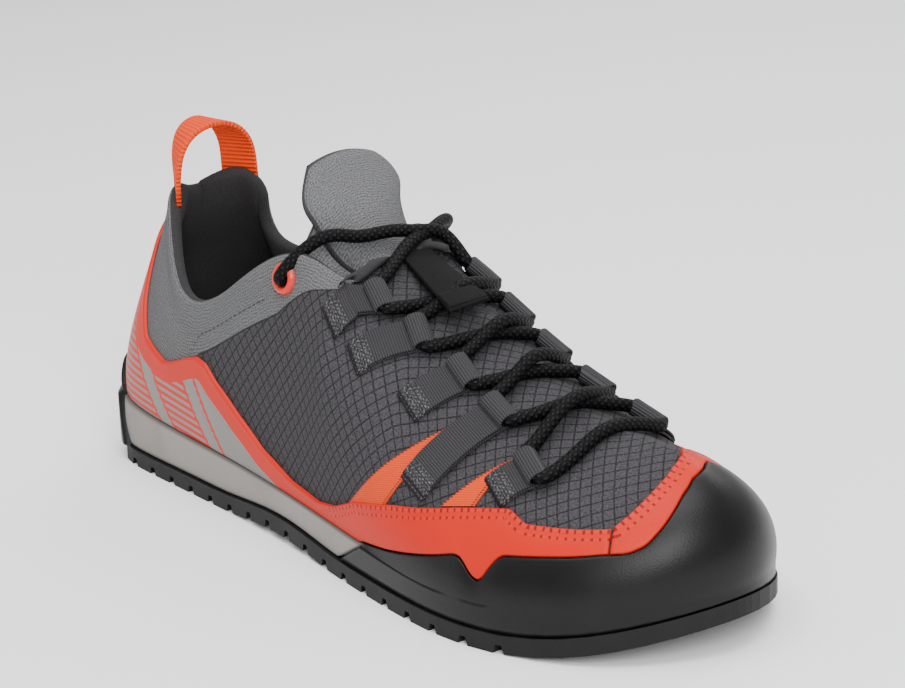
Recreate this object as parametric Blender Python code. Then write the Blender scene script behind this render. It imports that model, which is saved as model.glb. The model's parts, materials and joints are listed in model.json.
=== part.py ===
"""Approach shoe for the right foot, built round one last function.

X runs from the heel to the toe, Y from the lateral to the medial side, Z up from the floor.
"""

import math

import bmesh
import bpy
import numpy as np
from mathutils import Vector

# Driving sizes, metres
LENGTH = 0.290
BALL_WIDTH = 0.108
INSTEP_HEIGHT = 0.090
UPPER_WALL = 0.0024
COLLAR_PAD = 0.0052
CLEARANCE = 0.0003
FACET_CLEARANCE = 0.0005
OVERLAY_THICKNESS = 0.0012
FLANGE = 0.0027
SOLE_LIP = 0.0008
OUTSOLE_THICKNESS = 0.0060
LUG_DEPTH = 0.0028
LUG_LENGTH = 0.0088
LUG_GAP = 0.0036
LUG_FLANK = 0.0008
TOE_SPRING = 0.0115
HEEL_BEVEL = 0.0050
ARCH_LIFT = 0.0024
INSOLE_THICKNESS = 0.0040
RAND_THICKNESS = 0.0026
RAND_LIP = 0.0014
HEEL_RAND_THICKNESS = 0.0016
HEEL_RAND_SPREAD = 0.20
TONGUE_THICKNESS = 0.0050
WEBBING_WIDTH = 0.0120
WEBBING_THICKNESS = 0.0010
LOOP_WEBBING_WIDTH = 0.0140
LOOP_WEBBING_THICKNESS = 0.0018
LACE_DIAMETER = 0.0044
EYELET_HOLE = 0.0058
EYELET_RIM = 0.0026
EYELET_HEIGHT = 0.0012
KEEPER_WIDTH = 0.0150
KEEPER_THICKNESS = 0.0010
WEDGE_THICKNESS = 0.0006
WEDGE_GAP = 1.5 * CLEARANCE
MIDSOLE_SWELL = 1.22
BAND_FOOT = 0.008
BORDER_GAP = 0.010
LOOP_HOLE = LACE_DIAMETER / 2 + 0.0005
LOOP_RADIUS = LOOP_HOLE + WEBBING_THICKNESS
LOOP_GAPS = (0.0012, 0.0006, 0.0006, 0.0015, 0.0015)
LACE_REST = LACE_DIAMETER / 2 + KEEPER_THICKNESS + 0.0009
LACE_OVER = LACE_REST + LACE_DIAMETER + 0.0005
LACE_END_LIFTS = (LACE_DIAMETER / 2 + CLEARANCE, LACE_DIAMETER * 1.3)
LACE_STRAIGHT = 0.0015
LACE_STEP = 0.0080

# Facet counts
PLACES = 441
WEDGE_STEPS = 7
LOOP_TURNS = (0, 45, 90, 135, 180, 225, 270)
STRAP_STEPS = (0.0, 0.25, 0.5, 0.75)
HEEL_RAND_STEPS = 17
EYELET_SIDES = 16
TONGUE_ACROSS = 9
TONGUE_ALONG = 15
PULL_LOOP_STEPS = 17
KEEPER_ALONG = 5
KEEPER_ACROSS = 7
LACE_SAMPLES = 60
SHARP_ANGLE = 38

# One row for each spoke of the last, heel back to toe tip. along is a share of LENGTH, the sides
# and lean are shares of BALL_WIDTH, and low and rise are shares of INSTEP_HEIGHT.
WALL_COLUMNS = ("along", "lateral", "medial", "low", "lean", "rise")
WALL = {
    "heel back":   (0.018,  0.000, 0.000, 0.280, 0.02, 0.24),
    "heel round":  (0.038, -0.245, 0.245, 0.270, 0.02, 0.24),
    "heel side":   (0.100, -0.315, 0.305, 0.245, 0.03, 0.20),
    "heel front":  (0.205, -0.325, 0.300, 0.220, 0.03, 0.18),
    "arch rear":   (0.325, -0.340, 0.265, 0.205, 0.03, 0.20),
    "arch":        (0.445, -0.370, 0.265, 0.190, 0.03, 0.22),
    "ball rear":   (0.570, -0.415, 0.330, 0.175, 0.03, 0.22),
    "ball":        (0.690, -0.450, 0.425, 0.160, 0.03, 0.22),
    "ball front":  (0.785, -0.435, 0.440, 0.160, 0.03, 0.24),
    "toe side":    (0.876, -0.340, 0.395, 0.175, 0.03, 0.25),
    "toe round":   (0.940, -0.170, 0.275, 0.200, 0.04, 0.26),
    "toe tip":     (0.972,  0.070, 0.070, 0.220, 0.04, 0.26),
}
SPOKES = len(WALL) - 1
TURN = 2 * SPOKES

# The ridge of the instep, from the toe box to the throat. at counts spokes from the heel's back,
# along is a share of LENGTH, across of BALL_WIDTH and height of INSTEP_HEIGHT.
LINE_COLUMNS = ("at", "along", "across", "height")
RIDGE = (
    (11.0, 0.860, 0.076, 0.612),
    (10.0, 0.840, 0.074, 0.618),
    (9.0,  0.785, 0.066, 0.632),
    (8.0,  0.700, 0.058, 0.708),
    (7.0,  0.600, 0.054, 0.828),
    (6.0,  0.465, 0.055, 1.030),
)
THROAT = RIDGE[-1][0]

# The shoulder line of each side, which pulls the wall over towards its top; at counts spokes from
# the heel's back, along is a share of LENGTH, across of BALL_WIDTH and height of INSTEP_HEIGHT.
SHOULDER_LATERAL = (
    (0.0,  0.061,  0.000, 0.815),
    (1.0,  0.083, -0.152, 0.865),
    (2.0,  0.138, -0.275, 0.750),
    (3.0,  0.222, -0.333, 0.645),
    (4.0,  0.326, -0.332, 0.780),
    (5.0,  0.443, -0.322, 0.895),
    (6.0,  0.482, -0.425, 1.030),
    (7.0,  0.602, -0.245, 0.862),
    (8.0,  0.705, -0.145, 0.715),
    (9.0,  0.822, -0.082, 0.615),
    (10.0, 0.891, -0.009, 0.590),
    (11.0, 0.916,  0.076, 0.588),
)
SHOULDER_MEDIAL = (
    (0.0,  0.061,  0.000, 0.815),
    (1.0,  0.111,  0.192, 0.833),
    (2.0,  0.133,  0.227, 0.720),
    (3.0,  0.214,  0.260, 0.705),
    (4.0,  0.326,  0.280, 0.787),
    (5.0,  0.440,  0.272, 0.900),
    (6.0,  0.480,  0.335, 1.010),
    (7.0,  0.602,  0.232, 0.848),
    (8.0,  0.703,  0.178, 0.700),
    (9.0,  0.803,  0.165, 0.596),
    (10.0, 0.879,  0.150, 0.583),
    (11.0, 0.916,  0.076, 0.588),
)

# The edge of the opening on each side, from the throat round the collar to the heel.
EDGE_LATERAL = (
    (6.0,  0.465,  0.055, 1.030),
    (5.7,  0.470, -0.095, 1.020),
    (5.35, 0.478, -0.205, 0.995),
    (5.0,  0.440, -0.255, 1.060),
    (4.6,  0.390, -0.270, 1.070),
    (4.1,  0.335, -0.290, 0.985),
    (3.6,  0.280, -0.300, 0.865),
    (3.0,  0.222, -0.303, 0.785),
    (2.5,  0.178, -0.288, 0.815),
    (2.0,  0.140, -0.245, 0.930),
    (1.5,  0.108, -0.185, 1.065),
    (1.0,  0.090, -0.128, 1.125),
    (0.5,  0.078, -0.070, 1.105),
    (0.0,  0.072,  0.000, 1.095),
)
EDGE_MEDIAL = (
    (6.0,  0.465,  0.055, 1.030),
    (5.7,  0.470, 0.120, 1.035),
    (5.35, 0.480,  0.172, 1.020),
    (5.0,  0.435, 0.205, 1.070),
    (4.6,  0.390, 0.230, 1.060),
    (4.1,  0.340, 0.240, 0.985),
    (3.6,  0.280, 0.240, 0.895),
    (3.0,  0.214, 0.230, 0.845),
    (2.5,  0.160, 0.212, 0.850),
    (2.0,  0.133, 0.197, 0.900),
    (1.5,  0.124, 0.187, 0.990),
    (1.0,  0.118, 0.168, 1.095),
    (0.5,  0.098, 0.112, 1.150),
    (0.0,  0.072, 0.000, 1.095),
)

# Borders drawn on the upper: at counts spokes and share is the part of the wall's height.
BORDER_COLUMNS = ("at", "share")
OVERLAY_TOP = (
    (0.0, 0.86), (0.7, 0.84), (1.2, 0.74), (1.6, 0.57), (2.0, 0.45), (2.55, 0.44), (3.0, 0.56),
    (3.2, 0.58), (3.4, 0.54), (3.6, 0.44), (4.0, 0.29), (4.4, 0.17), (4.9, 0.09), (5.4, 0.07),
    (5.7, 0.10), (6.1, 0.175), (6.75, 0.25), (7.6, 0.335), (8.3, 0.395), (8.5, 0.355), (9.0, 0.370),
    (9.47, 0.385),
)
RAND_TOP = (
    (5.6, 0.01), (6.2, 0.02), (6.6, 0.06), (7.0, 0.105), (7.7, 0.175), (7.8, 0.165), (7.95, 0.10),
    (8.05, 0.09), (8.15, 0.15), (8.28, 0.212), (8.8, 0.238), (9.4, 0.263), (9.7, 0.262), (9.9, 0.290),
    (10.1, 0.375), (10.4, 0.535), (10.7, 0.635), (11.0, 0.670), (11.4, 0.685), (11.7, 0.670), (12.0, 0.58),
    (12.3, 0.42), (12.6, 0.30), (13.0, 0.265), (14.0, 0.235), (15.0, 0.12), (15.8, 0.02), (16.4, 0.01),
)
STRIP_TOP = (
    (9.47, 0.385), (9.7, 0.47), (10.05, 0.613), (10.4, 0.735), (10.8, 0.815), (11.2, 0.840), (11.6, 0.835),
    (11.95, 0.76), (12.25, 0.64), (12.53, 0.385),
)
HEEL_RAND_TOP = (
    (-1.35, 0.05), (-1.1, 0.16), (-0.6, 0.22), (0.0, 0.24), (0.6, 0.22), (1.1, 0.16), (1.35, 0.05),
)

# Webbing loops: the end that holds the lace and the sewn tail, as spokes and shares of the wall.
LOOP_COLUMNS = ("end_at", "end_share", "tail_at", "tail_share")
LOOPS_LATERAL = (
    (6.24, 0.805, 5.74, 0.690),
    (6.68, 0.785, 6.20, 0.600),
    (7.22, 0.755, 6.80, 0.555),
    (7.82, 0.700, 6.98, 0.330),
    (8.41, 0.560, 8.05, 0.425),
)
LOOPS_MEDIAL = (
    (6.16, 0.755, 5.70, 0.640),
    (6.64, 0.745, 6.26, 0.560),
    (7.17, 0.735, 6.78, 0.540),
    (7.92, 0.730, 7.02, 0.350),
    (8.50, 0.640, 8.10, 0.450),
)
# Wedges between the straps: two corners on the overlay's edge and the tip.
WEDGE_COLUMNS = ("first_at", "first_share", "second_at", "second_share", "tip_at", "tip_share")
WEDGES = {
    "wedge_rear": (6.08, 0.180, 6.64, 0.245, 7.56, 0.660),
    "wedge_front": (7.44, 0.335, 7.88, 0.375, 8.20, 0.585),
}
EYELET_PLACE = (4.60, 0.875)

# The tongue's middle line and its section: along in LENGTH, across, half and arch in BALL_WIDTH,
# height in INSTEP_HEIGHT. arch is how far the tongue's sides curve down.
TONGUE_COLUMNS = ("along", "across", "height", "half", "arch")
TONGUE = (
    (0.428, 0.032, 1.085, 0.148, 0.085),
    (0.388, 0.022, 1.228, 0.182, 0.055),
    (0.362, 0.050, 1.315, 0.190, 0.055),
    (0.350, 0.050, 1.368, 0.135, 0.028),
)
# Spokes of the vamp that the tongue's hidden part lies under, and its half width there.
TONGUE_HIDDEN = (6.95, 6.6, 6.3, 6.06)
TONGUE_HIDDEN_HALF = 0.0150
# The pull loop's middle line, with the direction of the webbing's width in plan.
PULL_LOOP_COLUMNS = ("along", "across", "height", "width_across")
PULL_LOOP = (
    (0.100, -0.128, 1.131, -0.60),
    (0.101, -0.122, 1.235, -0.45),
    (0.099, -0.080, 1.315, -0.25),
    (0.097,  0.000, 1.345,  0.00),
    (0.098,  0.070, 1.318,  0.25),
    (0.100,  0.110, 1.245,  0.45),
    (0.101,  0.119, 1.157,  0.55),
)

# Sole: the ends of the tread's bends in LENGTH, and the spokes of its facets.
GROUND_COLUMNS = ("heel_bevel_end", "arch_start", "arch_end", "toe_start", "toe_end")
GROUND = (0.075, 0.260, 0.560, 0.790, 0.990)
LUG_START = 0.050
LUG_END = 0.835
LUG_COLUMNS = (0.0, 0.30, 0.335, 0.37, 0.63, 0.665, 0.70, 1.0)
LUG_GROOVES = (2, 5)
HEEL_SPOKES = (0.0, 0.15, 0.35, 0.6, 0.85, 1.15, 1.5)
TOE_SPOKES = (8.7, 9.0, 9.3, 9.6, 9.9, 10.2, 10.5, 10.75, 10.9, 11.0)
SOLE_SPOKES = HEEL_SPOKES + (2.0, 2.5, 3.0, 3.5, 4.0, 4.5, 5.0, 5.4, 5.74, 5.755, 6.0, 6.4, 6.9, 7.4,
                             7.9, 8.35) + TOE_SPOKES
# The toe rand's rear edge, which leans forward with height
RAND_START = 5.77
RAND_FLANGE = (RAND_START - 0.03, RAND_START - 0.015)
RAND_SLANT = 0.40
RAND_SLANT_SPOKES = (4.4, 5.7, 5.8, 7.6)
RAND_SPOKES = (RAND_START, 7.8, 8.05, 8.15, 8.28, 9.47, 9.6, 9.9, 10.27)
RAND_PARTS = (0.2, 0.4, 0.6, 0.8, 1.0)

# Upper: facet stops, and where the collar's padding begins and is full.
UPPER_SPOKES = (0.0, 0.3, 0.6, 0.9, 1.2, 1.5, 1.8, 2.15, 2.55, 3.0, 3.5, 4.0, 4.4, 4.75, 5.05, 5.35, 5.55,
                5.78, 6.0, 6.35, 6.75, 7.15, 7.55, 7.95, 8.35, 8.7, 9.05, 9.4, 9.75, 10.1, 10.45,
                10.75, 11.0)
UPPER_SHARES = (0.0, 0.09, 0.20, 0.32, 0.45, 0.58, 0.70, 0.81, 0.91, 1.0)
PAD_SHARES = (0.62, 0.86)
PAD_SPOKES = (4.2, 5.3)
EDGE_SHARE = 0.985
RIDGE_BLEND = (0.94, 1.0)
THROAT_BLEND = (THROAT - 0.3, THROAT)

# Overlays: the band's own stops and front end, where its foot climbs on the rand, and the strip's stops.
BAND_FRONT = 9.47
BAND_CLIMB = (6.12, 6.16)
BAND_SPOKES = BAND_CLIMB + (7.8, 8.05, 8.15, 8.28, BAND_FRONT)
BAND_ROWS = 6
STRIP_SPOKES = (9.49, 9.6, 9.75, 9.9, 10.1, 10.27, 10.45, 10.75, 11.0)
STRIP_ROWS = 4
WEDGE_PARTS = (0.0, 0.33, 0.67, 1.0)
WEDGE_TIP = 0.97
TONGUE_TAPER = 0.55
KEEPER_SPOKES = (6.02, 6.62)

# Lace: its crossings, and its two strands behind the throat as shares of LENGTH, BALL_WIDTH and
# INSTEP_HEIGHT.
CROSSING_PARTS = (0.38, 0.5, 0.62)
MOUTH_SHIFT = 0.25
FRONT_BAR_SHIFT = 0.42
LONG_SPAN = 1.5 * WEBBING_WIDTH
LACE_TOP_COLUMNS = ("along", "across", "height")
LACE_TO_LATERAL_EYELET = (
    (0.4660, 0.185, 1.076),
    (0.4570, 0.110, 1.098),
    (0.4460, 0.020, 1.112),
    (0.4340, -0.085, 1.110),
    (0.4180, -0.195, 1.116),
    (0.4020, -0.290, 1.098),
    (0.3930, -0.335, 1.052),
)
LACE_TO_MEDIAL_EYELET = (
    (0.4720, -0.070, 1.074),
    (0.4680, 0.040, 1.080),
    (0.4560, 0.145, 1.096),
    (0.4400, 0.232, 1.118),
    (0.4230, 0.290, 1.105),
    (0.4060, 0.320, 1.060),
)


def closed_spline(values):
    """A smooth closed curve through rows at whole parameters."""
    values = np.asarray(values, float)
    n = len(values)
    matrix = 4 * np.eye(n) + np.roll(np.eye(n), 1, 1) + np.roll(np.eye(n), -1, 1)
    slopes = np.linalg.solve(matrix, 3 * (np.roll(values, -1, 0) - np.roll(values, 1, 0)))

    def at(u):
        u = np.asarray(u, float) % n
        i = np.floor(u).astype(int) % n
        j = (i + 1) % n
        t = (u - np.floor(u))[:, None]
        return ((2 * t**3 - 3 * t**2 + 1) * values[i] + (t**3 - 2 * t**2 + t) * slopes[i]
                + (3 * t**2 - 2 * t**3) * values[j] + (t**3 - t**2) * slopes[j])
    return at


def open_spline(knots, values):
    """A natural cubic through rows at increasing knots."""
    knots = np.asarray(knots, float)
    values = np.asarray(values, float)
    n = len(knots)
    gap = np.diff(knots)
    matrix = np.eye(n)
    right = np.zeros(values.shape)
    for i in range(1, n - 1):
        matrix[i, i - 1:i + 2] = (gap[i - 1], 2 * (gap[i - 1] + gap[i]), gap[i])
        right[i] = 6 * ((values[i + 1] - values[i]) / gap[i] - (values[i] - values[i - 1]) / gap[i - 1])
    bend = np.linalg.solve(matrix, right)

    def at(u):
        u = np.clip(np.asarray(u, float), knots[0], knots[-1])
        i = np.clip(np.searchsorted(knots, u, side="right") - 1, 0, n - 2)
        t = (u - knots[i])[:, None]
        h = gap[i][:, None]
        slope = (values[i + 1] - values[i]) / h - h * (2 * bend[i] + bend[i + 1]) / 6
        return values[i] + slope * t + bend[i] / 2 * t**2 + (bend[i + 1] - bend[i]) / (6 * h) * t**3
    return at


def both_sides(lateral, medial):
    """Lateral rows from heel to toe and then medial rows back."""
    return np.vstack((lateral, medial[SPOKES - 1:0:-1]))


def wall_rows():
    """The foot of every spoke in metres, with its lean and rise."""
    scale = (LENGTH, BALL_WIDTH, BALL_WIDTH, INSTEP_HEIGHT, BALL_WIDTH, INSTEP_HEIGHT)
    rows = np.array(list(WALL.values())) * scale
    return both_sides(rows[:, (0, 1, 3, 4, 5)], rows[:, (0, 2, 3, 4, 5)])


def shoulder_rows():
    """The shoulder point of every spoke in metres."""
    scale = (LENGTH, BALL_WIDTH, INSTEP_HEIGHT)
    return both_sides(np.array(SHOULDER_LATERAL)[:, 1:] * scale, np.array(SHOULDER_MEDIAL)[:, 1:] * scale)


def line_of(table):
    """A ridge or edge table as a curve in metres over its spokes."""
    rows = np.array(table)[::-1]
    return open_spline(rows[:, 0], rows[:, 1:] * (LENGTH, BALL_WIDTH, INSTEP_HEIGHT))


wall_at = closed_spline(wall_rows())
shoulder_at = closed_spline(shoulder_rows())
ridge_at = line_of(RIDGE)
edge_lateral_at = line_of(EDGE_LATERAL)
edge_medial_at = line_of(EDGE_MEDIAL)


def border(table, u):
    """Share of the wall's height on a border table."""
    rows = np.array(table)
    return np.interp(u, rows[:, 0], rows[:, 1])


def top_point(u):
    """Top of spoke u: the ridge ahead of the throat, the opening's edge behind it."""
    u = np.asarray(u, float) % TURN
    spoke = np.minimum(u, TURN - u)
    edge = np.where((u > SPOKES)[:, None], edge_medial_at(spoke), edge_lateral_at(spoke))
    return np.where((spoke >= THROAT)[:, None], ridge_at(spoke), edge)


def outward(u):
    """Level direction out of the last at spoke u."""
    step = 1e-3
    along = wall_at(u + step)[:, :2] - wall_at(u - step)[:, :2]
    along /= np.linalg.norm(along, axis=1)[:, None]
    return np.column_stack((along[:, 1], -along[:, 0], np.zeros(len(along))))


def surface(u, share):
    """Outer face of the upper, share 0 at the sole and 1 at the top."""
    u, share = np.broadcast_arrays(np.atleast_1d(u).astype(float), np.atleast_1d(share).astype(float))
    t = share[:, None]
    row = wall_at(u)
    foot = row[:, :3]
    out = outward(u)
    up = np.array((0.0, 0.0, 1.0))
    top = top_point(u)
    low_handle = foot + out * row[:, 3:4] + up * row[:, 4:5]
    return ((1 - t)**3 * foot + 3 * (1 - t)**2 * t * low_handle
            + 3 * (1 - t) * t**2 * shoulder_at(u) + t**3 * top)


def normal(u, share):
    """Unit normal out of the upper; along the ridge both sides share one."""
    u, share = np.broadcast_arrays(np.atleast_1d(u).astype(float), np.atleast_1d(share).astype(float))
    step = 1e-3

    def one_side(u, share):
        back = np.clip(share - step, 0, EDGE_SHARE)
        along = surface(u + step, back) - surface(u - step, back)
        rise = surface(u, back + 2 * step) - surface(u, back)
        cross = np.cross(along, rise)
        return cross / np.linalg.norm(cross, axis=1)[:, None]
    spoke = np.minimum(u % TURN, TURN - u % TURN)
    mine = one_side(u, share)
    other = one_side(TURN - u, share)
    weight = np.interp(share, RIDGE_BLEND, (0, 0.5)) * np.interp(spoke, THROAT_BLEND, (0, 1))
    mixed = mine * (1 - weight[:, None]) + other * weight[:, None]
    return mixed / np.linalg.norm(mixed, axis=1)[:, None]


def lifted(u, share, lift):
    """A point off the upper's outer face."""
    return surface(u, share) + normal(u, share) * np.atleast_1d(lift)[:, None]


def make_object(name, vertices, faces, material, weld=0.0):
    """One closed mesh object with its faces pointing out."""
    mesh = bpy.data.meshes.new(name)
    bm = bmesh.new()
    corners = [bm.verts.new(Vector(v)) for v in vertices]
    for face in faces:
        kept = [corners[i] for i in dict.fromkeys(face)]
        if len(kept) > 2:
            bm.faces.new(kept)
    if weld:
        bmesh.ops.remove_doubles(bm, verts=bm.verts, dist=weld)
    bmesh.ops.recalc_face_normals(bm, faces=bm.faces)
    if bm.calc_volume(signed=True) < 0:
        bmesh.ops.reverse_faces(bm, faces=bm.faces)
    bm.to_mesh(mesh)
    bm.free()
    mesh.materials.append(material)
    mesh.shade_smooth()
    mesh.set_sharp_from_angle(angle=math.radians(SHARP_ANGLE))
    piece = bpy.data.objects.new(name, mesh)
    bpy.context.collection.objects.link(piece)
    return piece


def sheet(name, outer, inner, material):
    """A closed sheet between two grids of points, its four borders joined."""
    rows, columns = outer.shape[:2]
    vertices = np.vstack((outer.reshape(-1, 3), inner.reshape(-1, 3)))
    half = rows * columns
    faces = []
    for i in range(rows - 1):
        for j in range(columns - 1):
            a = i * columns + j
            faces.append((a, a + 1, a + columns + 1, a + columns))
            faces.append((half + a, half + a + columns, half + a + columns + 1, half + a + 1))
    ring = [j for j in range(columns)]
    ring += [i * columns + columns - 1 for i in range(1, rows)]
    ring += [(rows - 1) * columns + j for j in range(columns - 2, -1, -1)]
    ring += [i * columns for i in range(rows - 2, 0, -1)]
    for a, b in zip(ring, ring[1:] + ring[:1]):
        faces.append((a, b, half + b, half + a))
    return make_object(name, vertices, faces, material)


def patch(name, u, low, high, steps, inside, outside, material):
    """An overlay on the upper between two borders, one value of each for every spoke in u."""
    share = low[None, :] + (high - low)[None, :] * np.linspace(0, 1, steps)[:, None]
    spokes = np.broadcast_to(u, share.shape)
    shape = share.shape + (3,)
    far = lifted(spokes.ravel(), share.ravel(), np.full(share.size, outside)).reshape(shape)
    near = lifted(spokes.ravel(), share.ravel(), np.full(share.size, inside)).reshape(shape)
    return sheet(name, far, near, material)


def ground(x):
    """Height of the outsole's tread: flat at heel and ball, lifted at the heel's back, arch and toe."""
    bevel_end, arch_start, arch_end, toe_start, toe_end = (share * LENGTH for share in GROUND)
    x = np.asarray(x, float)
    bevel = HEEL_BEVEL * (np.clip(bevel_end - x, 0, None) / bevel_end)**2
    arch = ARCH_LIFT * np.sin(np.pi * np.clip((x - arch_start) / (arch_end - arch_start), 0, 1))**2
    spring = TOE_SPRING * (np.clip(x - toe_start, 0, None) / (toe_end - toe_start))**2
    return bevel + arch + spring


def slanted(spoke, level):
    """Spoke moved forward with height near the rand's rear edge, which leans forward."""
    return spoke + RAND_SLANT * level * np.interp(spoke, RAND_SLANT_SPOKES, (0, 1, 1, 0))


def round_spokes(spokes):
    """Both sides of the last: lateral spokes from heel to toe, then medial ones back."""
    spokes = np.asarray(spokes, float)
    return np.concatenate((spokes, TURN - spokes[-2:0:-1]))


def outline(u, out):
    """Points of the upper's foot moved out level by one value for each spoke."""
    points = wall_at(u)[:, :3].copy()
    return points + outward(u) * np.broadcast_to(out, u.shape)[:, None]


def flange(spoke):
    """How far the midsole stands out past the upper; the rand covers it ahead of its rear edge."""
    return np.interp(spoke, RAND_FLANGE, (FLANGE, 0.0))


def stack(name, rings, material):
    """A closed solid through level rings, capped across between the two sides."""
    count = len(rings[0])
    half = count // 2
    vertices = np.vstack(rings)
    faces = []
    for level in range(len(rings) - 1):
        for i in range(count):
            a = level * count + i
            b = level * count + (i + 1) % count
            faces.append((a, b, b + count, a + count))
    for first in (0, (len(rings) - 1) * count):
        for i in range(half):
            a, b = first + i, first + i + 1
            c, d = first + (count - i - 1) % count, first + (count - i) % count
            faces.append((a, b, c, d))
    return make_object(name, vertices, faces, material)


def make_midsole(material):
    """Foam wedge between the outsole and the upper, a little proud in the middle of its side."""
    spokes = np.array(SOLE_SPOKES)
    rings = []
    for level, swell in ((0.0, 1.0), (0.5, MIDSOLE_SWELL), (1.0, 1.0)):
        u = round_spokes(slanted(spokes, level))
        out = flange(round_spokes_back(spokes)) * swell
        ring = outline(u, out)
        low = ground(ring[:, 0]) + OUTSOLE_THICKNESS + FACET_CLEARANCE
        high = wall_at(u)[:, 2] - CLEARANCE
        ring[:, 2] = low + (high - low) * level
        rings.append(ring)
    return stack("midsole", rings, material)


def round_spokes_back(spokes):
    """Spoke numbers, 0 to 11, at the places that round_spokes gives."""
    spokes = np.asarray(spokes, float)
    return np.concatenate((spokes, spokes[-2:0:-1]))


def make_insole(material):
    """Footbed inside the upper's foot."""
    u = round_spokes(SOLE_SPOKES)
    rings = []
    for height in (0.0, INSOLE_THICKNESS):
        ring = outline(u, -(UPPER_WALL + 2 * CLEARANCE))
        ring[:, 2] = wall_at(u)[:, 2] + height
        rings.append(ring)
    return stack("insole", rings, material)


def make_outsole(material):
    """Rubber bottom: rows of lugs parted by grooves, smooth under the toe and the heel's back."""
    fine = np.linspace(0, SPOKES, PLACES)
    along = wall_at(fine)[:, 0]
    stations = [(spoke, 0.0) for spoke in HEEL_SPOKES]
    x = LUG_START * LENGTH + LUG_LENGTH
    while x + LUG_GAP < LUG_END * LENGTH:
        edges = (x, x + LUG_FLANK, x + LUG_GAP - LUG_FLANK, x + LUG_GAP)
        for place, depth in zip(edges, (0.0, LUG_DEPTH, LUG_DEPTH, 0.0)):
            stations.append((float(np.interp(place, along, fine)), depth))
        x += LUG_GAP + LUG_LENGTH
    stations += [(spoke, 0.0) for spoke in TOE_SPOKES if spoke > stations[-1][0] + 0.1]
    spokes = np.array([spoke for spoke, depth in stations])
    depths = np.array([depth for spoke, depth in stations])
    edge = FLANGE + SOLE_LIP
    lateral = outline(spokes, edge)
    medial = outline(TURN - spokes, edge)
    level = ground((lateral[:, 0] + medial[:, 0]) / 2)
    columns = len(LUG_COLUMNS)
    grooved = (lateral[:, 0] > LUG_START * LENGTH) & (lateral[:, 0] < LUG_END * LENGTH)
    vertices = []
    for i in range(len(spokes)):
        for j, v in enumerate(LUG_COLUMNS):
            point = lateral[i] + (medial[i] - lateral[i]) * v
            depth = max(depths[i], LUG_DEPTH if j in LUG_GROOVES and grooved[i] else 0.0)
            point[2] = level[i] + depth
            vertices.append(point)
    faces = []
    for i in range(len(spokes) - 1):
        for j in range(columns - 1):
            a = i * columns + j
            faces.append((a, a + columns, a + columns + 1, a + 1))
    first = len(vertices)
    for side in (lateral, medial):
        for i in range(len(spokes)):
            point = side[i].copy()
            point[2] = ground(point[0]) + OUTSOLE_THICKNESS
            vertices.append(point)
    count = len(spokes)
    for i in range(count - 1):
        a, b = first + i, first + count + i
        faces.append((a, b, b + 1, a + 1))
        faces.append((i * columns, a, a + 1, (i + 1) * columns))
        faces.append((i * columns + columns - 1, (i + 1) * columns + columns - 1, b + 1, b))
    return make_object("outsole", vertices, faces, material, weld=1e-6)


def wall_thickness(u, share):
    """The shell's wall, padded along the collar."""
    spoke = np.minimum(u % TURN, TURN - u % TURN)
    padded = np.interp(share, PAD_SHARES, (0, 1)) * np.interp(spoke, PAD_SPOKES, (1, 0))
    return UPPER_WALL + (COLLAR_PAD - UPPER_WALL) * padded


def make_upper(material):
    """Hollow shell: closed over the instep ahead of the throat, open at the collar and underneath."""
    u = round_spokes(UPPER_SPOKES)
    columns = len(u)
    rows = len(UPPER_SHARES)
    outer, inner = [], []
    for share in UPPER_SHARES:
        shares = np.full(columns, share)
        outer.append(surface(u, shares))
        if share == 0.0:
            inner.append(outline(u, -UPPER_WALL))
        else:
            inner.append(lifted(u, shares, -wall_thickness(u, shares)))
    vertices = np.vstack(outer + inner)
    half = rows * columns
    faces = []
    for i in range(rows - 1):
        for j in range(columns):
            a, b = i * columns + j, i * columns + (j + 1) % columns
            faces.append((a, b, b + columns, a + columns))
            faces.append((half + a, half + a + columns, half + b + columns, half + b))
    top = (rows - 1) * columns
    for j in range(columns):
        after = (j + 1) % columns
        faces.append((j, half + j, half + after, after))
        ends = [min(u[n] % TURN, TURN - u[n] % TURN) for n in (j, after)]
        if max(ends) <= THROAT:
            faces.append((top + j, top + after, half + top + after, half + top + j))
    return make_object("upper", vertices, faces, material, weld=1e-6)


def make_side_overlay(material):
    """Band round the heel and along both sides, above the sole and the rand."""
    steps = np.array(sorted({s for s in UPPER_SPOKES if s < BAND_FRONT} | set(BAND_SPOKES)))
    u = np.concatenate((-steps[:0:-1], steps))
    return patch("side_overlay", u, overlay_low(u), border(OVERLAY_TOP, np.abs(u)), BAND_ROWS,
                 FACET_CLEARANCE, FACET_CLEARANCE + OVERLAY_THICKNESS, material)


def overlay_low(u):
    """Lower border of the band: on the midsole behind the rand, just above the rand ahead of it."""
    over_rand = border(RAND_TOP, u % TURN) + BORDER_GAP
    return BAND_FOOT + (over_rand - BAND_FOOT) * np.interp(np.abs(u), BAND_CLIMB, (0, 1))


def make_toe_strip(material):
    """Strip over the toe box, along the rand's edge."""
    steps = np.array(STRIP_SPOKES)
    u = np.concatenate((steps, TURN - steps[-2::-1]))
    return patch("toe_strip", u, border(RAND_TOP, u) + BORDER_GAP, border(STRIP_TOP, u), STRIP_ROWS,
                 CLEARANCE, CLEARANCE + OVERLAY_THICKNESS, material)


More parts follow.
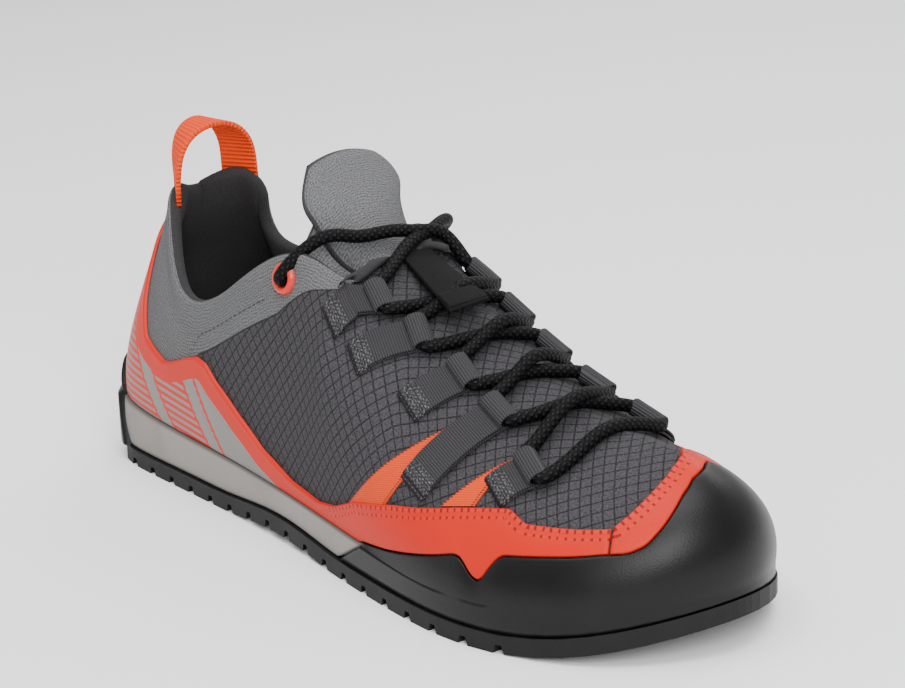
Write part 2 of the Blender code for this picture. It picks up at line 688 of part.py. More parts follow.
def make_toe_rand(material):
    """Moulded rubber from the outsole over the midsole's side and the toe box."""
    half = np.array(sorted({s for s in UPPER_SPOKES if s > RAND_START + 0.1} | set(RAND_SPOKES)))
    spokes = np.concatenate((half, TURN - half[-2::-1]))
    lateral = spokes <= SPOKES

    def warped(level):
        return np.where(lateral, slanted(np.minimum(spokes, TURN - spokes), level),
                        TURN - slanted(np.minimum(spokes, TURN - spokes), level))
    rows = []
    for side in (1, 0):
        grid = []
        for level in (0.0, 1.0):
            u = warped(level)
            ring = outline(u, FACET_CLEARANCE + side * RAND_THICKNESS)
            if level == 0.0:
                ring[:, 2] = ground(ring[:, 0]) + OUTSOLE_THICKNESS + FACET_CLEARANCE
            grid.append(ring)
        u = warped(1.0)
        for part in RAND_PARTS:
            thickness = RAND_THICKNESS + (RAND_LIP - RAND_THICKNESS) * part
            lift = np.full(u.shape, FACET_CLEARANCE + side * thickness)
            grid.append(lifted(u, border(RAND_TOP, u) * part, lift))
        rows.append(np.array(grid))
    return sheet("toe_rand", rows[0], rows[1], material)


def make_heel_rand(material):
    """Rubber up the back of the heel, over the midsole and the band."""
    u = np.linspace(HEEL_RAND_TOP[0][0], HEEL_RAND_TOP[-1][0], HEEL_RAND_STEPS)
    clear_of_band = FACET_CLEARANCE + CLEARANCE + OVERLAY_THICKNESS
    clear_of_foam = MIDSOLE_SWELL * FLANGE + CLEARANCE
    rows = []
    for out in (HEEL_RAND_THICKNESS, 0.0):
        grid = []
        for level in (0.0, 0.5, 1.0):
            ring = outline(u * (1 + HEEL_RAND_SPREAD * (1 - level)), clear_of_foam + out)
            tread = ground(ring[:, 0]) + OUTSOLE_THICKNESS + CLEARANCE
            ring[:, 2] = tread + (ring[:, 2] + CLEARANCE - tread) * level
            grid.append(ring)
        for part in (0.4, 1.0):
            grid.append(lifted(u, border(HEEL_RAND_TOP, u) * part, np.full(u.shape, clear_of_band + out)))
        rows.append(np.array(grid))
    return sheet("heel_rand", rows[0], rows[1], material)


def make_wedge(name, row, medial, material):
    """A wedge of film between two straps, from the band's edge to its tip."""
    corners = np.array(row).reshape(3, 2)
    steps = np.linspace(0, WEDGE_TIP, WEDGE_STEPS)[:, None]
    near = corners[0] + (corners[2] - corners[0]) * steps
    far = corners[1] + (corners[2] - corners[1]) * steps
    grid = np.stack([near + (far - near) * part for part in WEDGE_PARTS], axis=1)
    u = TURN - grid[..., 0] if medial else grid[..., 0]
    shape = u.shape + (3,)
    faces = [lifted(u.ravel(), grid[..., 1].ravel(), np.full(u.size, lift)).reshape(shape)
             for lift in (WEDGE_GAP + WEDGE_THICKNESS, WEDGE_GAP)]
    return sheet(name, faces[0], faces[1], material)


def loop_frame(index, medial):
    """Middle line of a loop's strap and its directions: along the strap, across it and off the upper."""
    end_at, end_share, tail_at, tail_share = (LOOPS_MEDIAL if medial else LOOPS_LATERAL)[index]
    steps = np.linspace(0, 1, 5)
    u = tail_at + (end_at - tail_at) * steps
    share = tail_share + (end_share - tail_share) * steps
    u = TURN - u if medial else u
    points = surface(u, share)
    up = normal(u, share)
    along = points[-1] - points[0]
    across = np.cross(up, along)
    across /= np.linalg.norm(across, axis=1)[:, None]
    return points, across, up


def make_lace_loop(name, index, medial, material):
    """Folded webbing: a flat strap whose end turns up round the lace and back."""
    points, across, up = loop_frame(index, medial)
    base = LOOP_GAPS[index]
    end = points[-1]
    forward = np.cross(across[-1], up[-1])
    forward *= np.sign(np.dot(forward, points[-1] - points[-2]))
    join = math.acos(1 - WEBBING_THICKNESS / LOOP_RADIUS)
    turns = [math.radians(t) for t in LOOP_TURNS] + [2 * math.pi - join]
    centre = end + up[-1] * (base + LOOP_RADIUS)

    def ring(radius):
        return [centre + forward * radius * math.sin(t) - up[-1] * radius * math.cos(t) for t in turns]
    outer, inner = ring(LOOP_RADIUS), ring(LOOP_HOLE)
    reach = np.linalg.norm(points[-1] - points[0])
    join_step = 1 - LOOP_RADIUS * math.sin(join) / reach
    low, high, turned = [], [], []
    for step in STRAP_STEPS:
        place = step * join_step * (len(points) - 1)
        i = int(place)
        mix = place - i
        point, off, side = (values[i] * (1 - mix) + values[i + 1] * mix for values in (points, up, across))
        low.append(point + off * base)
        high.append(point + off * (base + WEBBING_THICKNESS))
        turned.append(side)
    profile = outer + inner + low + high
    sides = [across[-1]] * (2 * len(turns)) + turned * 2
    ring_count = len(turns)
    tail_count = len(low)
    vertices = [p - side * WEBBING_WIDTH / 2 for p, side in zip(profile, sides)]
    vertices += [p + side * WEBBING_WIDTH / 2 for p, side in zip(profile, sides)]
    size = len(profile)
    first_low = 2 * ring_count
    first_high = first_low + tail_count
    faces = []
    for shift in (0, size):
        for j in range(ring_count):
            k = (j + 1) % ring_count
            faces.append((shift + j, shift + k, shift + ring_count + k, shift + ring_count + j))
        for j in range(tail_count - 1):
            faces.append((shift + first_low + j, shift + first_low + j + 1,
                          shift + first_high + j + 1, shift + first_high + j))
        faces.append((shift + first_low + tail_count - 1, shift, shift + ring_count - 1,
                      shift + first_high + tail_count - 1))
    for j in range(ring_count - 1):
        faces.append((j, j + 1, size + j + 1, size + j))
    for j in range(ring_count):
        k = (j + 1) % ring_count
        faces.append((ring_count + j, size + ring_count + j, size + ring_count + k, ring_count + k))
    lines = ([first_low + j for j in range(tail_count)] + [0],
             [first_high + j for j in range(tail_count)] + [ring_count - 1])
    for line in lines:
        for a, b in zip(line, line[1:]):
            faces.append((a, b, size + b, size + a))
    faces.append((first_low, first_high, size + first_high, size + first_low))
    return make_object(name, vertices, faces, material)


def make_eyelet(name, medial, material):
    """Ring round the hole that the lace's end goes into."""
    at, share = EYELET_PLACE
    u = TURN - at if medial else at
    place = surface(u, share)[0]
    up = normal(u, share)[0]
    level = np.cross(up, (0.0, 0.0, 1.0))
    level /= np.linalg.norm(level)
    rise = np.cross(up, level)
    hole = EYELET_HOLE / 2
    profile = ((hole, CLEARANCE * 2), (hole + EYELET_RIM, CLEARANCE * 2), (hole + EYELET_RIM, EYELET_HEIGHT),
               (hole + EYELET_RIM / 2, EYELET_HEIGHT * 1.5), (hole, EYELET_HEIGHT))
    vertices, faces = [], []
    for i in range(EYELET_SIDES):
        turn = 2 * math.pi * i / EYELET_SIDES
        direction = level * math.cos(turn) + rise * math.sin(turn)
        vertices += [place + direction * radius + up * height for radius, height in profile]
    count = len(profile)
    for i in range(EYELET_SIDES):
        after = (i + 1) % EYELET_SIDES
        for j in range(count):
            k = (j + 1) % count
            faces.append((i * count + j, i * count + k, after * count + k, after * count + j))
    return make_object(name, vertices, faces, material)


def make_tongue(material):
    """Padded sheet from under the vamp, out of the throat and up in front of the ankle."""
    across = np.linspace(-1, 1, TONGUE_ACROSS)
    sections = []
    for spoke in TONGUE_HIDDEN:
        share = 1 - np.abs(across) * TONGUE_HIDDEN_HALF / ridge_handle(spoke)
        u = np.where(across <= 0, spoke, TURN - spoke)
        sections.append(lifted(u, share, np.full(TONGUE_ACROSS, -(UPPER_WALL + 2 * CLEARANCE))))
    for along, side, height, half, arch in TONGUE:
        section = np.zeros((TONGUE_ACROSS, 3))
        section[:, 0] = along * LENGTH
        section[:, 1] = (side + half * across) * BALL_WIDTH
        section[:, 2] = height * INSTEP_HEIGHT - arch * BALL_WIDTH * across**2
        sections.append(section)
    sections = np.array(sections)
    middle = TONGUE_ACROSS // 2
    steps = np.linalg.norm(np.diff(sections[:, middle], axis=0), axis=1)
    knots = np.concatenate(((0.0,), np.cumsum(steps)))
    outer = open_spline(knots, sections.reshape(len(sections), -1))(np.linspace(0, knots[-1], TONGUE_ALONG))
    outer = outer.reshape(TONGUE_ALONG, TONGUE_ACROSS, 3)
    off = np.cross(np.gradient(outer, axis=1), np.gradient(outer, axis=0))
    off /= np.linalg.norm(off, axis=2)[..., None]
    off *= np.sign(off[TONGUE_ALONG // 2, middle, 2])
    thin = TONGUE_THICKNESS * (1 - TONGUE_TAPER * np.abs(across)**3)
    return sheet("tongue", outer, outer - off * thin[None, :, None], material)


def make_pull_loop(material):
    """Webbing loop standing on the collar at the heel."""
    rows = np.array(PULL_LOOP) * (LENGTH, BALL_WIDTH, INSTEP_HEIGHT, 1.0)
    row = open_spline(np.arange(len(rows)), rows)(np.linspace(0, len(rows) - 1, PULL_LOOP_STEPS))
    middle = row[:, :3]
    along = np.gradient(middle, axis=0)
    width = np.column_stack((np.ones(len(row)), row[:, 3], np.zeros(len(row))))
    width /= np.linalg.norm(width, axis=1)[:, None]
    off = np.cross(along, width)
    off /= np.linalg.norm(off, axis=1)[:, None]
    grids = [np.stack([middle + width * LOOP_WEBBING_WIDTH / 2 * v + off * LOOP_WEBBING_THICKNESS / 2 * side
                       for v in (-1, 0, 1)], axis=1) for side in (1, -1)]
    return sheet("pull_loop", grids[0], grids[1], material)


def make_lace_keeper(material):
    """Fabric tab on the throat, over the ridge and under the laces."""
    grids = []
    for lift in (CLEARANCE + KEEPER_THICKNESS, CLEARANCE):
        columns = []
        for spoke in np.linspace(*KEEPER_SPOKES, KEEPER_ALONG):
            handle = ridge_handle(spoke)
            column = []
            for v in np.linspace(-1, 1, KEEPER_ACROSS):
                share = 1 - abs(v) * KEEPER_WIDTH / 2 / handle
                column.append(lifted(spoke if v <= 0 else TURN - spoke, share, lift)[0])
            columns.append(column)
        grids.append(np.array(columns))
    return sheet("lace_keeper", grids[0], grids[1], material)


def ridge_handle(spoke):
    """Length of wall for a whole share, measured next to the ridge."""
    step = 0.02
    return np.linalg.norm(surface(spoke, 1.0) - surface(spoke, 1 - step)) / step


def loop_passage(index, medial):
    """The lace's line through a loop: round its rear corner, straight through and round its front corner."""
    points, across, up = loop_frame(index, medial)
    centre = points[-1] + up[-1] * (LOOP_GAPS[index] + LOOP_RADIUS)
    forward = across[-1] * np.sign(across[-1][0])
    inward = np.cross(across[-1], up[-1])
    inward *= np.sign(np.dot(inward, points[-1] - points[-2])) * (LOOP_RADIUS + LACE_DIAMETER / 2)
    reach = forward * (WEBBING_WIDTH / 2 + LACE_STRAIGHT)
    round_corner = reach + forward * LACE_STRAIGHT
    return [(centre - round_corner + inward, True), (centre - reach, True), (centre, False),
            (centre + reach, True), (centre + round_corner + inward, True)]


def crossing(start, end, lift):
    """Points over the instep between two places; a place is spoke and share, medial shares negative."""
    places = []
    for part in CROSSING_PARTS:
        spoke = start[0] + (end[0] - start[0]) * part
        side = start[1] + (end[1] - start[1]) * part
        u = spoke if side <= 0 else TURN - spoke
        height = LACE_REST + (lift - LACE_REST) * math.sin(math.pi * part)
        places.append((lifted(u, 1 - abs(side), height)[0], False))
    return places


def lace_route():
    """The lace from one top eyelet through the ten loops to the other: points and whether each is kept."""
    def place(index, medial, shift):
        end_at, end_share = (LOOPS_MEDIAL if medial else LOOPS_LATERAL)[index][:2]
        return (end_at + shift, (1 - end_share) * (1 if medial else -1))
    eyelets = []
    for medial in (False, True):
        u = TURN - EYELET_PLACE[0] if medial else EYELET_PLACE[0]
        eyelets.append([(lifted(u, EYELET_PLACE[1], lift)[0], True) for lift in LACE_END_LIFTS])
    size = (LENGTH, BALL_WIDTH, INSTEP_HEIGHT)
    last = len(LOOPS_LATERAL) - 1
    route = list(eyelets[0]) + [(point, False) for point in np.array(LACE_TO_LATERAL_EYELET)[::-1] * size]
    for index in range(last + 1):
        medial = index % 2 == 0
        route += loop_passage(index, medial)
        if index < last:
            lift = LACE_OVER if medial else LACE_REST
            start = place(index, medial, MOUTH_SHIFT)
            route += crossing(start, place(index + 1, not medial, -MOUTH_SHIFT), lift)
    route += crossing(place(last, True, FRONT_BAR_SHIFT), place(last, False, FRONT_BAR_SHIFT), LACE_REST)
    for index in range(last, -1, -1):
        medial = index % 2 == 1
        route += loop_passage(index, medial)[::-1]
        if index > 0:
            lift = LACE_OVER if not medial else LACE_REST
            start = place(index, medial, -MOUTH_SHIFT)
            route += crossing(start, place(index - 1, not medial, MOUTH_SHIFT), lift)
    route += [(point, False) for point in np.array(LACE_TO_MEDIAL_EYELET) * size]
    return route + list(eyelets[1][::-1])


def make_lace(material):
    """One round cord along the whole route, straight through every loop and curved between them."""
    route = lace_route()
    places = np.array([point for point, kept in route])
    steps = np.linalg.norm(np.diff(places, axis=0), axis=1)
    knots = np.concatenate(((0.0,), np.cumsum(np.sqrt(steps))))
    curve_at = open_spline(knots, places)
    kept = [knot for knot, (point, keep) in zip(knots, route) if keep]
    points = []
    for start, end in zip(kept, kept[1:]):
        dense = curve_at(np.linspace(start, end, LACE_SAMPLES))
        length = np.concatenate(((0.0,), np.cumsum(np.linalg.norm(np.diff(dense, axis=0), axis=1))))
        count = max(1, round(length[-1] / LACE_STEP)) if length[-1] > LONG_SPAN else 1
        wanted = np.linspace(0, length[-1], count + 1)[:-1]
        points += [[np.interp(w, length, dense[:, i]) for i in range(3)] for w in wanted]
    points.append(places[-1])
    curve = bpy.data.curves.new("lace", "CURVE")
    curve.dimensions = "3D"
    curve.bevel_depth = LACE_DIAMETER / 2
    curve.bevel_resolution = 2
    curve.use_fill_caps = True
    spline = curve.splines.new("POLY")
    spline.points.add(len(points) - 1)
    for point, place in zip(spline.points, points):
        point.co = (*place, 1.0)
    curve.materials.append(material)
    piece = bpy.data.objects.new("lace", curve)
    bpy.context.collection.objects.link(piece)
    return piece


def make_material(name, colour, roughness, metallic=0.0):
    material = bpy.data.materials.new(name)
    material.use_nodes = True
    shader = material.node_tree.nodes["Principled BSDF"]
    shader.inputs["Base Color"].default_value = (*colour, 1.0)
    shader.inputs["Roughness"].default_value = roughness
    shader.inputs["Metallic"].default_value = metallic
    return material


def centre_on_floor(pieces):
    """Carry every piece on one empty, with the middle of the whole shoe's box over the origin."""
    bpy.context.view_layer.update()
    graph = bpy.context.evaluated_depsgraph_get()
    corners = []
    for piece in pieces:
        evaluated = piece.evaluated_get(graph)
        mesh = evaluated.to_mesh()
        corners += [piece.matrix_world @ v.co for v in mesh.vertices]
        evaluated.to_mesh_clear()
    low = [min(c[i] for c in corners) for i in range(3)]
    high = [max(c[i] for c in corners) for i in range(3)]
    frame = bpy.data.objects.new("shoe", None)
    bpy.context.collection.objects.link(frame)
    frame.location = (-(low[0] + high[0]) / 2, -(low[1] + high[1]) / 2, -low[2])
    for piece in pieces:
        piece.parent = frame


def main():
    for old in list(bpy.data.objects):
        bpy.data.objects.remove(old)
    rubber = make_material("rubber", (0.012, 0.012, 0.013), 0.45)
    foam = make_material("foam", (0.48, 0.47, 0.45), 0.75)
    fabric = make_material("ripstop", (0.060, 0.058, 0.062), 0.85)
    red = make_material("red_film", (0.78, 0.070, 0.030), 0.5)
    orange = make_material("orange_webbing", (0.87, 0.12, 0.012), 0.7)
    knit = make_material("grey_knit", (0.14, 0.14, 0.145), 0.9)
    footbed = make_material("footbed", (0.02, 0.02, 0.022), 0.9)
    webbing = make_material("dark_webbing", (0.050, 0.048, 0.052), 0.8)
    cord = make_material("black_cord", (0.008, 0.008, 0.009), 0.75)
    pieces = [make_outsole(rubber), make_midsole(foam), make_toe_rand(rubber), make_heel_rand(rubber),
              make_insole(footbed), make_upper(fabric), make_side_overlay(red), make_toe_strip(red),
              make_tongue(knit), make_pull_loop(orange), make_lace_keeper(cord), make_lace(cord)]
    for side, medial in (("lateral", False), ("medial", True)):
        pieces.append(make_eyelet(f"eyelet_{side}", medial, orange))
        for name, row in WEDGES.items():
            pieces.append(make_wedge(f"{name}_{side}", row, medial, orange))
        for index in range(len(LOOPS_LATERAL)):
            pieces.append(make_lace_loop(f"lace_loop_{side}_{index + 1}", index, medial, webbing))
    centre_on_floor(pieces)


main()
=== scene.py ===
"""Looks of an approach shoe for the right foot, built round the same last as its solids.

X runs from the heel to the toe, Y from the lateral to the medial side, Z up from the floor.
"""

import json
import math

import bmesh
import bpy
import numpy as np
from mathutils import Matrix, Vector
from mathutils.bvhtree import BVHTree

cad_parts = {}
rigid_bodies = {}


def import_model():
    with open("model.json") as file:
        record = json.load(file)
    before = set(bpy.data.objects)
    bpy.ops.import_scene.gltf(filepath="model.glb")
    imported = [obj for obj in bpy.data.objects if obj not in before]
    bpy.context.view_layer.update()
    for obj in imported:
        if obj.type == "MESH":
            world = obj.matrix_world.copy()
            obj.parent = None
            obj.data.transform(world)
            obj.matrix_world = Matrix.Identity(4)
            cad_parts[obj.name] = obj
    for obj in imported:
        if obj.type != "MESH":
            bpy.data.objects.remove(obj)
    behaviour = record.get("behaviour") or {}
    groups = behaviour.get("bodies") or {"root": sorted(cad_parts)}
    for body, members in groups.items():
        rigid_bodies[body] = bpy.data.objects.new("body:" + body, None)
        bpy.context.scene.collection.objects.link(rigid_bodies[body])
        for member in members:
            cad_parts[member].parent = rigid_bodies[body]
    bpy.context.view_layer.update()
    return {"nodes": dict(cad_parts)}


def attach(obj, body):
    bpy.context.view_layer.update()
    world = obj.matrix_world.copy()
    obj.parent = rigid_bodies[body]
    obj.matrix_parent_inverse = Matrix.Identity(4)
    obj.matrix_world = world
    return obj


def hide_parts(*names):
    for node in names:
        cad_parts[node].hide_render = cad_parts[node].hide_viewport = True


# The last's own frame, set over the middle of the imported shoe
SHIFT = np.array((-0.142703, 0.000518, 0.0))
MM = 1000.0

# Driving sizes, metres
LENGTH = 0.290
BALL_WIDTH = 0.108
INSTEP_HEIGHT = 0.090
UPPER_WALL = 0.0024
COLLAR_PAD = 0.0052
CLEARANCE = 0.0003
FACET_CLEARANCE = 0.0005
OVERLAY_THICKNESS = 0.0012
FLANGE = 0.0027
OUTSOLE_THICKNESS = 0.0060
TOE_SPRING = 0.0115
HEEL_BEVEL = 0.0050
ARCH_LIFT = 0.0024
RAND_THICKNESS = 0.0026
RAND_LIP = 0.0014
HEEL_RAND_THICKNESS = 0.0016
TONGUE_THICKNESS = 0.0050
WEBBING_WIDTH = 0.0120
WEBBING_THICKNESS = 0.0010
LOOP_WEBBING_WIDTH = 0.0140
LOOP_WEBBING_THICKNESS = 0.0018
LACE_DIAMETER = 0.0044
EYELET_HOLE = 0.0058
KEEPER_THICKNESS = 0.0010

# One row for each spoke of the last, heel back to toe tip: along as a share of LENGTH, the lateral and
# medial sides as shares of BALL_WIDTH, the height of the foot of the wall as a share of INSTEP_HEIGHT,
# then how far the wall leans out in BALL_WIDTH and rises in INSTEP_HEIGHT.
WALL = {
    "heel back":   (0.018,  0.000, 0.000, 0.280, 0.02, 0.24),
    "heel round":  (0.038, -0.245, 0.245, 0.270, 0.02, 0.24),
    "heel side":   (0.100, -0.315, 0.305, 0.245, 0.03, 0.20),
    "heel front":  (0.205, -0.325, 0.300, 0.220, 0.03, 0.18),
    "arch rear":   (0.325, -0.340, 0.265, 0.205, 0.03, 0.20),
    "arch":        (0.445, -0.370, 0.265, 0.190, 0.03, 0.22),
    "ball rear":   (0.570, -0.415, 0.330, 0.175, 0.03, 0.22),
    "ball":        (0.690, -0.450, 0.425, 0.160, 0.03, 0.22),
    "ball front":  (0.785, -0.435, 0.440, 0.160, 0.03, 0.24),
    "toe side":    (0.876, -0.340, 0.395, 0.175, 0.03, 0.25),
    "toe round":   (0.940, -0.170, 0.275, 0.200, 0.04, 0.26),
    "toe tip":     (0.972,  0.070, 0.070, 0.220, 0.04, 0.26),
}
SPOKES = len(WALL) - 1
TURN = 2 * SPOKES

# The ridge of the instep, from the toe box to the throat. at counts spokes from the heel's back,
# along is a share of LENGTH, across of BALL_WIDTH and height of INSTEP_HEIGHT.
RIDGE = (
    (11.0, 0.860, 0.076, 0.612),
    (10.0, 0.840, 0.074, 0.618),
    (9.0,  0.785, 0.066, 0.632),
    (8.0,  0.700, 0.058, 0.708),
    (7.0,  0.600, 0.054, 0.828),
    (6.0,  0.465, 0.055, 1.030),
)

# The shoulder line of each side, which pulls the wall over towards its top; at counts spokes from
# the heel's back, along is a share of LENGTH, across of BALL_WIDTH and height of INSTEP_HEIGHT.
SHOULDER_LATERAL = (
    (0.0,  0.061,  0.000, 0.815),
    (1.0,  0.083, -0.152, 0.865),
    (2.0,  0.138, -0.275, 0.750),
    (3.0,  0.222, -0.333, 0.645),
    (4.0,  0.326, -0.332, 0.780),
    (5.0,  0.443, -0.322, 0.895),
    (6.0,  0.482, -0.425, 1.030),
    (7.0,  0.602, -0.245, 0.862),
    (8.0,  0.705, -0.145, 0.715),
    (9.0,  0.822, -0.082, 0.615),
    (10.0, 0.891, -0.009, 0.590),
    (11.0, 0.916,  0.076, 0.588),
)
SHOULDER_MEDIAL = (
    (0.0,  0.061,  0.000, 0.815),
    (1.0,  0.111,  0.192, 0.833),
    (2.0,  0.133,  0.227, 0.720),
    (3.0,  0.214,  0.260, 0.705),
    (4.0,  0.326,  0.280, 0.787),
    (5.0,  0.440,  0.272, 0.900),
    (6.0,  0.480,  0.335, 1.010),
    (7.0,  0.602,  0.232, 0.848),
    (8.0,  0.703,  0.178, 0.700),
    (9.0,  0.803,  0.165, 0.596),
    (10.0, 0.879,  0.150, 0.583),
    (11.0, 0.916,  0.076, 0.588),
)
THROAT = RIDGE[-1][0]

# The edge of the opening on each side, from the throat round the collar to the heel.
EDGE_LATERAL = (
    (6.0,  0.465,  0.055, 1.030),
    (5.7,  0.470, -0.095, 1.020),
    (5.35, 0.478, -0.205, 0.995),
    (5.0,  0.440, -0.255, 1.060),
    (4.6,  0.390, -0.270, 1.070),
    (4.1,  0.335, -0.290, 0.985),
    (3.6,  0.280, -0.300, 0.865),
    (3.0,  0.222, -0.303, 0.785),
    (2.5,  0.178, -0.288, 0.815),
    (2.0,  0.140, -0.245, 0.930),
    (1.5,  0.108, -0.185, 1.065),
    (1.0,  0.090, -0.128, 1.125),
    (0.5,  0.078, -0.070, 1.105),
    (0.0,  0.072,  0.000, 1.095),
)
EDGE_MEDIAL = (
    (6.0,  0.465,  0.055, 1.030),
    (5.7,  0.470, 0.120, 1.035),
    (5.35, 0.480, 0.172, 1.020),
    (5.0,  0.435, 0.205, 1.070),
    (4.6,  0.390, 0.230, 1.060),
    (4.1,  0.340, 0.240, 0.985),
    (3.6,  0.280, 0.240, 0.895),
    (3.0,  0.214, 0.230, 0.845),
    (2.5,  0.160, 0.212, 0.850),
    (2.0,  0.133, 0.197, 0.900),
    (1.5,  0.124, 0.187, 0.990),
    (1.0,  0.118, 0.168, 1.095),
    (0.5,  0.098, 0.112, 1.150),
    (0.0,  0.072, 0.000, 1.095),
)

# Borders drawn on the upper: at counts spokes and share is the part of the wall's height.
OVERLAY_TOP = (
    (0.0, 0.86), (0.7, 0.84), (1.2, 0.74), (1.6, 0.57), (2.0, 0.45), (2.55, 0.44), (3.0, 0.56), (3.2, 0.58),
    (3.4, 0.54), (3.6, 0.44), (4.0, 0.29), (4.4, 0.17), (4.9, 0.09), (5.4, 0.07), (5.7, 0.10), (6.1, 0.175),
    (6.75, 0.25), (7.6, 0.335), (8.3, 0.395), (8.5, 0.355), (9.0, 0.370), (9.47, 0.385),
)
RAND_TOP = (
    (5.6, 0.01), (6.2, 0.02), (6.6, 0.06), (7.0, 0.105), (7.7, 0.175), (7.8, 0.165), (7.95, 0.10),
    (8.05, 0.09), (8.15, 0.15), (8.28, 0.212), (8.8, 0.238), (9.4, 0.263), (9.7, 0.262), (9.9, 0.290),
    (10.1, 0.375), (10.4, 0.535), (10.7, 0.635), (11.0, 0.670), (11.4, 0.685), (11.7, 0.670),
    (12.0, 0.58), (12.3, 0.42), (12.6, 0.30), (13.0, 0.265), (14.0, 0.235), (15.0, 0.12), (15.8, 0.02),
    (16.4, 0.01),
)
STRIP_TOP = (
    (9.47, 0.385), (9.7, 0.47), (10.05, 0.613), (10.4, 0.735), (10.8, 0.815), (11.2, 0.840), (11.6, 0.835),
    (11.95, 0.76), (12.25, 0.64), (12.53, 0.385),
)
HEEL_RAND_TOP = (
    (-1.35, 0.05), (-1.1, 0.16), (-0.6, 0.22), (0.0, 0.24), (0.6, 0.22), (1.1, 0.16), (1.35, 0.05),
)

# Webbing loops: the end that holds the lace and the sewn tail, as spokes and shares of the wall.
LOOPS_LATERAL = (
    (6.24, 0.805, 5.74, 0.690),
    (6.68, 0.785, 6.20, 0.600),
    (7.22, 0.755, 6.80, 0.555),
    (7.82, 0.700, 6.98, 0.330),
    (8.41, 0.560, 8.05, 0.425),
)
LOOPS_MEDIAL = (
    (6.16, 0.755, 5.70, 0.640),
    (6.64, 0.745, 6.26, 0.560),
    (7.17, 0.735, 6.78, 0.540),
    (7.92, 0.730, 7.02, 0.350),
    (8.50, 0.640, 8.10, 0.450),
)
# Wedges between the straps: two corners on the overlay's edge and the tip.
WEDGES = {
    "wedge_rear": (6.08, 0.180, 6.64, 0.245, 7.56, 0.660),
    "wedge_front": (7.44, 0.335, 7.88, 0.375, 8.20, 0.585),
}
EYELET_PLACE = (4.60, 0.875)

# The tongue's middle line and its section: along in LENGTH, across, half and arch in BALL_WIDTH,
# height in INSTEP_HEIGHT. arch is how far the tongue's sides curve down.
TONGUE = (
    (0.428, 0.032, 1.085, 0.148, 0.085),
    (0.388, 0.022, 1.228, 0.182, 0.055),
    (0.362, 0.050, 1.315, 0.190, 0.055),
    (0.350, 0.050, 1.368, 0.135, 0.028),
)
# Spokes of the vamp that the tongue's hidden part lies under, and its half width there.
TONGUE_HIDDEN = (6.95, 6.6, 6.3, 6.06)
TONGUE_HIDDEN_HALF = 0.0150
# The pull loop's middle line, with the direction of the webbing's width in plan.
PULL_LOOP = (
    (0.100, -0.128, 1.131, -0.60),
    (0.101, -0.122, 1.235, -0.45),
    (0.099, -0.080, 1.315, -0.25),
    (0.097,  0.000, 1.345,  0.00),
    (0.098,  0.070, 1.318,  0.25),
    (0.100,  0.110, 1.245,  0.45),
    (0.101,  0.119, 1.157,  0.55),
)

# The outsole's tread in side view: shares of LENGTH where the heel's bevel ends, the arch starts and
# ends, and the toe lifts and ends
GROUND = (0.075, 0.260, 0.560, 0.790, 0.990)
# The toe rand's rear edge: its spoke at the ground, and how many spokes it leans forward
RAND_START = 5.77
RAND_SLANT = 0.40
# How thick each rand is at its first and last places, as a share of the whole
RAND_CLOSING = (0.0, 0.6, 0.9)
HEEL_RAND_CLOSING = (0.0, 0.6, 0.92)
# How much further forward the heel rand's foot reaches than its top
HEEL_RAND_SPREAD = 0.20
# The midsole's side from its foot up: level, and how far it stands out in flanges
MIDSOLE_SECTION = (
    (0.0, -0.4), (0.0, 0.86), (0.04, 0.98), (0.15, 1.08), (0.35, 1.19), (0.55, 1.22), (0.75, 1.15),
    (0.88, 1.07), (0.95, 0.99), (0.99, 0.88), (1.0, 0.72), (1.0, -0.4),
)

# Steps for slopes, in spokes and shares, and where the two sides' normals blend along the ridge
STEP = 1e-3
HIGHEST_SLOPE = 0.985
RIDGE_BLEND = 0.94
THROAT_BLEND = 0.3
MERGE_DISTANCE = 1e-6
CHUNK = 2000

# Creases: two ends as spokes and shares of the wall, medial spokes past 11, then width and depth in
# metres, a ridge where the depth is negative
CREASES = (
    (8.55, 0.97, 9.05, 0.50, 0.0045, 0.0007),
    (8.75, 0.98, 9.30, 0.62, 0.0050, -0.0004),
    (8.10, 0.66, 8.75, 0.42, 0.0040, 0.0006),
    (13.4, 0.97, 12.95, 0.50, 0.0045, 0.0007),
    (5.30, 0.60, 5.05, 0.25, 0.0070, 0.0003),
    (6.55, 0.52, 6.15, 0.25, 0.0050, 0.0005),
    (16.6, 0.66, 16.9, 0.25, 0.0060, 0.0006),
    (1.50, 0.86, 3.30, 0.66, 0.0035, 0.0006),
    (1.20, 0.93, 2.60, 0.80, 0.0030, 0.0005),
    (3.30, 0.88, 4.40, 0.78, 0.0040, 0.0005),
    (20.5, 0.86, 18.7, 0.66, 0.0035, 0.0006),
    (18.7, 0.88, 17.6, 0.78, 0.0040, 0.0005),
)
CREASE_STEPS = 25
CREASE_FADE = 0.012
# Where the knit of the collar meets the ripstop, as spokes and shares of the wall
KNIT_BORDER = (
    (0.0, 0.30), (2.95, 0.42), (3.2, 0.592), (4.50, 0.725), (5.50, 0.963), (5.6, 1.06), (11.0, 1.20),
)
# Ahead of this spoke the cloth's grid is measured down from the ridge, behind it up from the foot
CLOTH_HOLD = 6.7
SHELL_COLUMNS = 313
SHELL_SHARES = 58
ROW_CROWDING = 0.9
# The collar's padding fades in over these shares of the wall and out over these spokes
PAD_SHARES = (0.62, 0.86)
PAD_SPOKES = (4.2, 5.3)
# The collar's rolled rim: its turns in degrees, where it starts and how full it is
RIM_TURNS = (0, 25, 50, 75, 100, 125, 150, 180)
RIM_SPOKES = (4.7, 5.3)
RIM_STEP = 0.04
RIM_REACH = 0.02
RIM_DRAW = 1.25
RIM_BULGE = 1.1
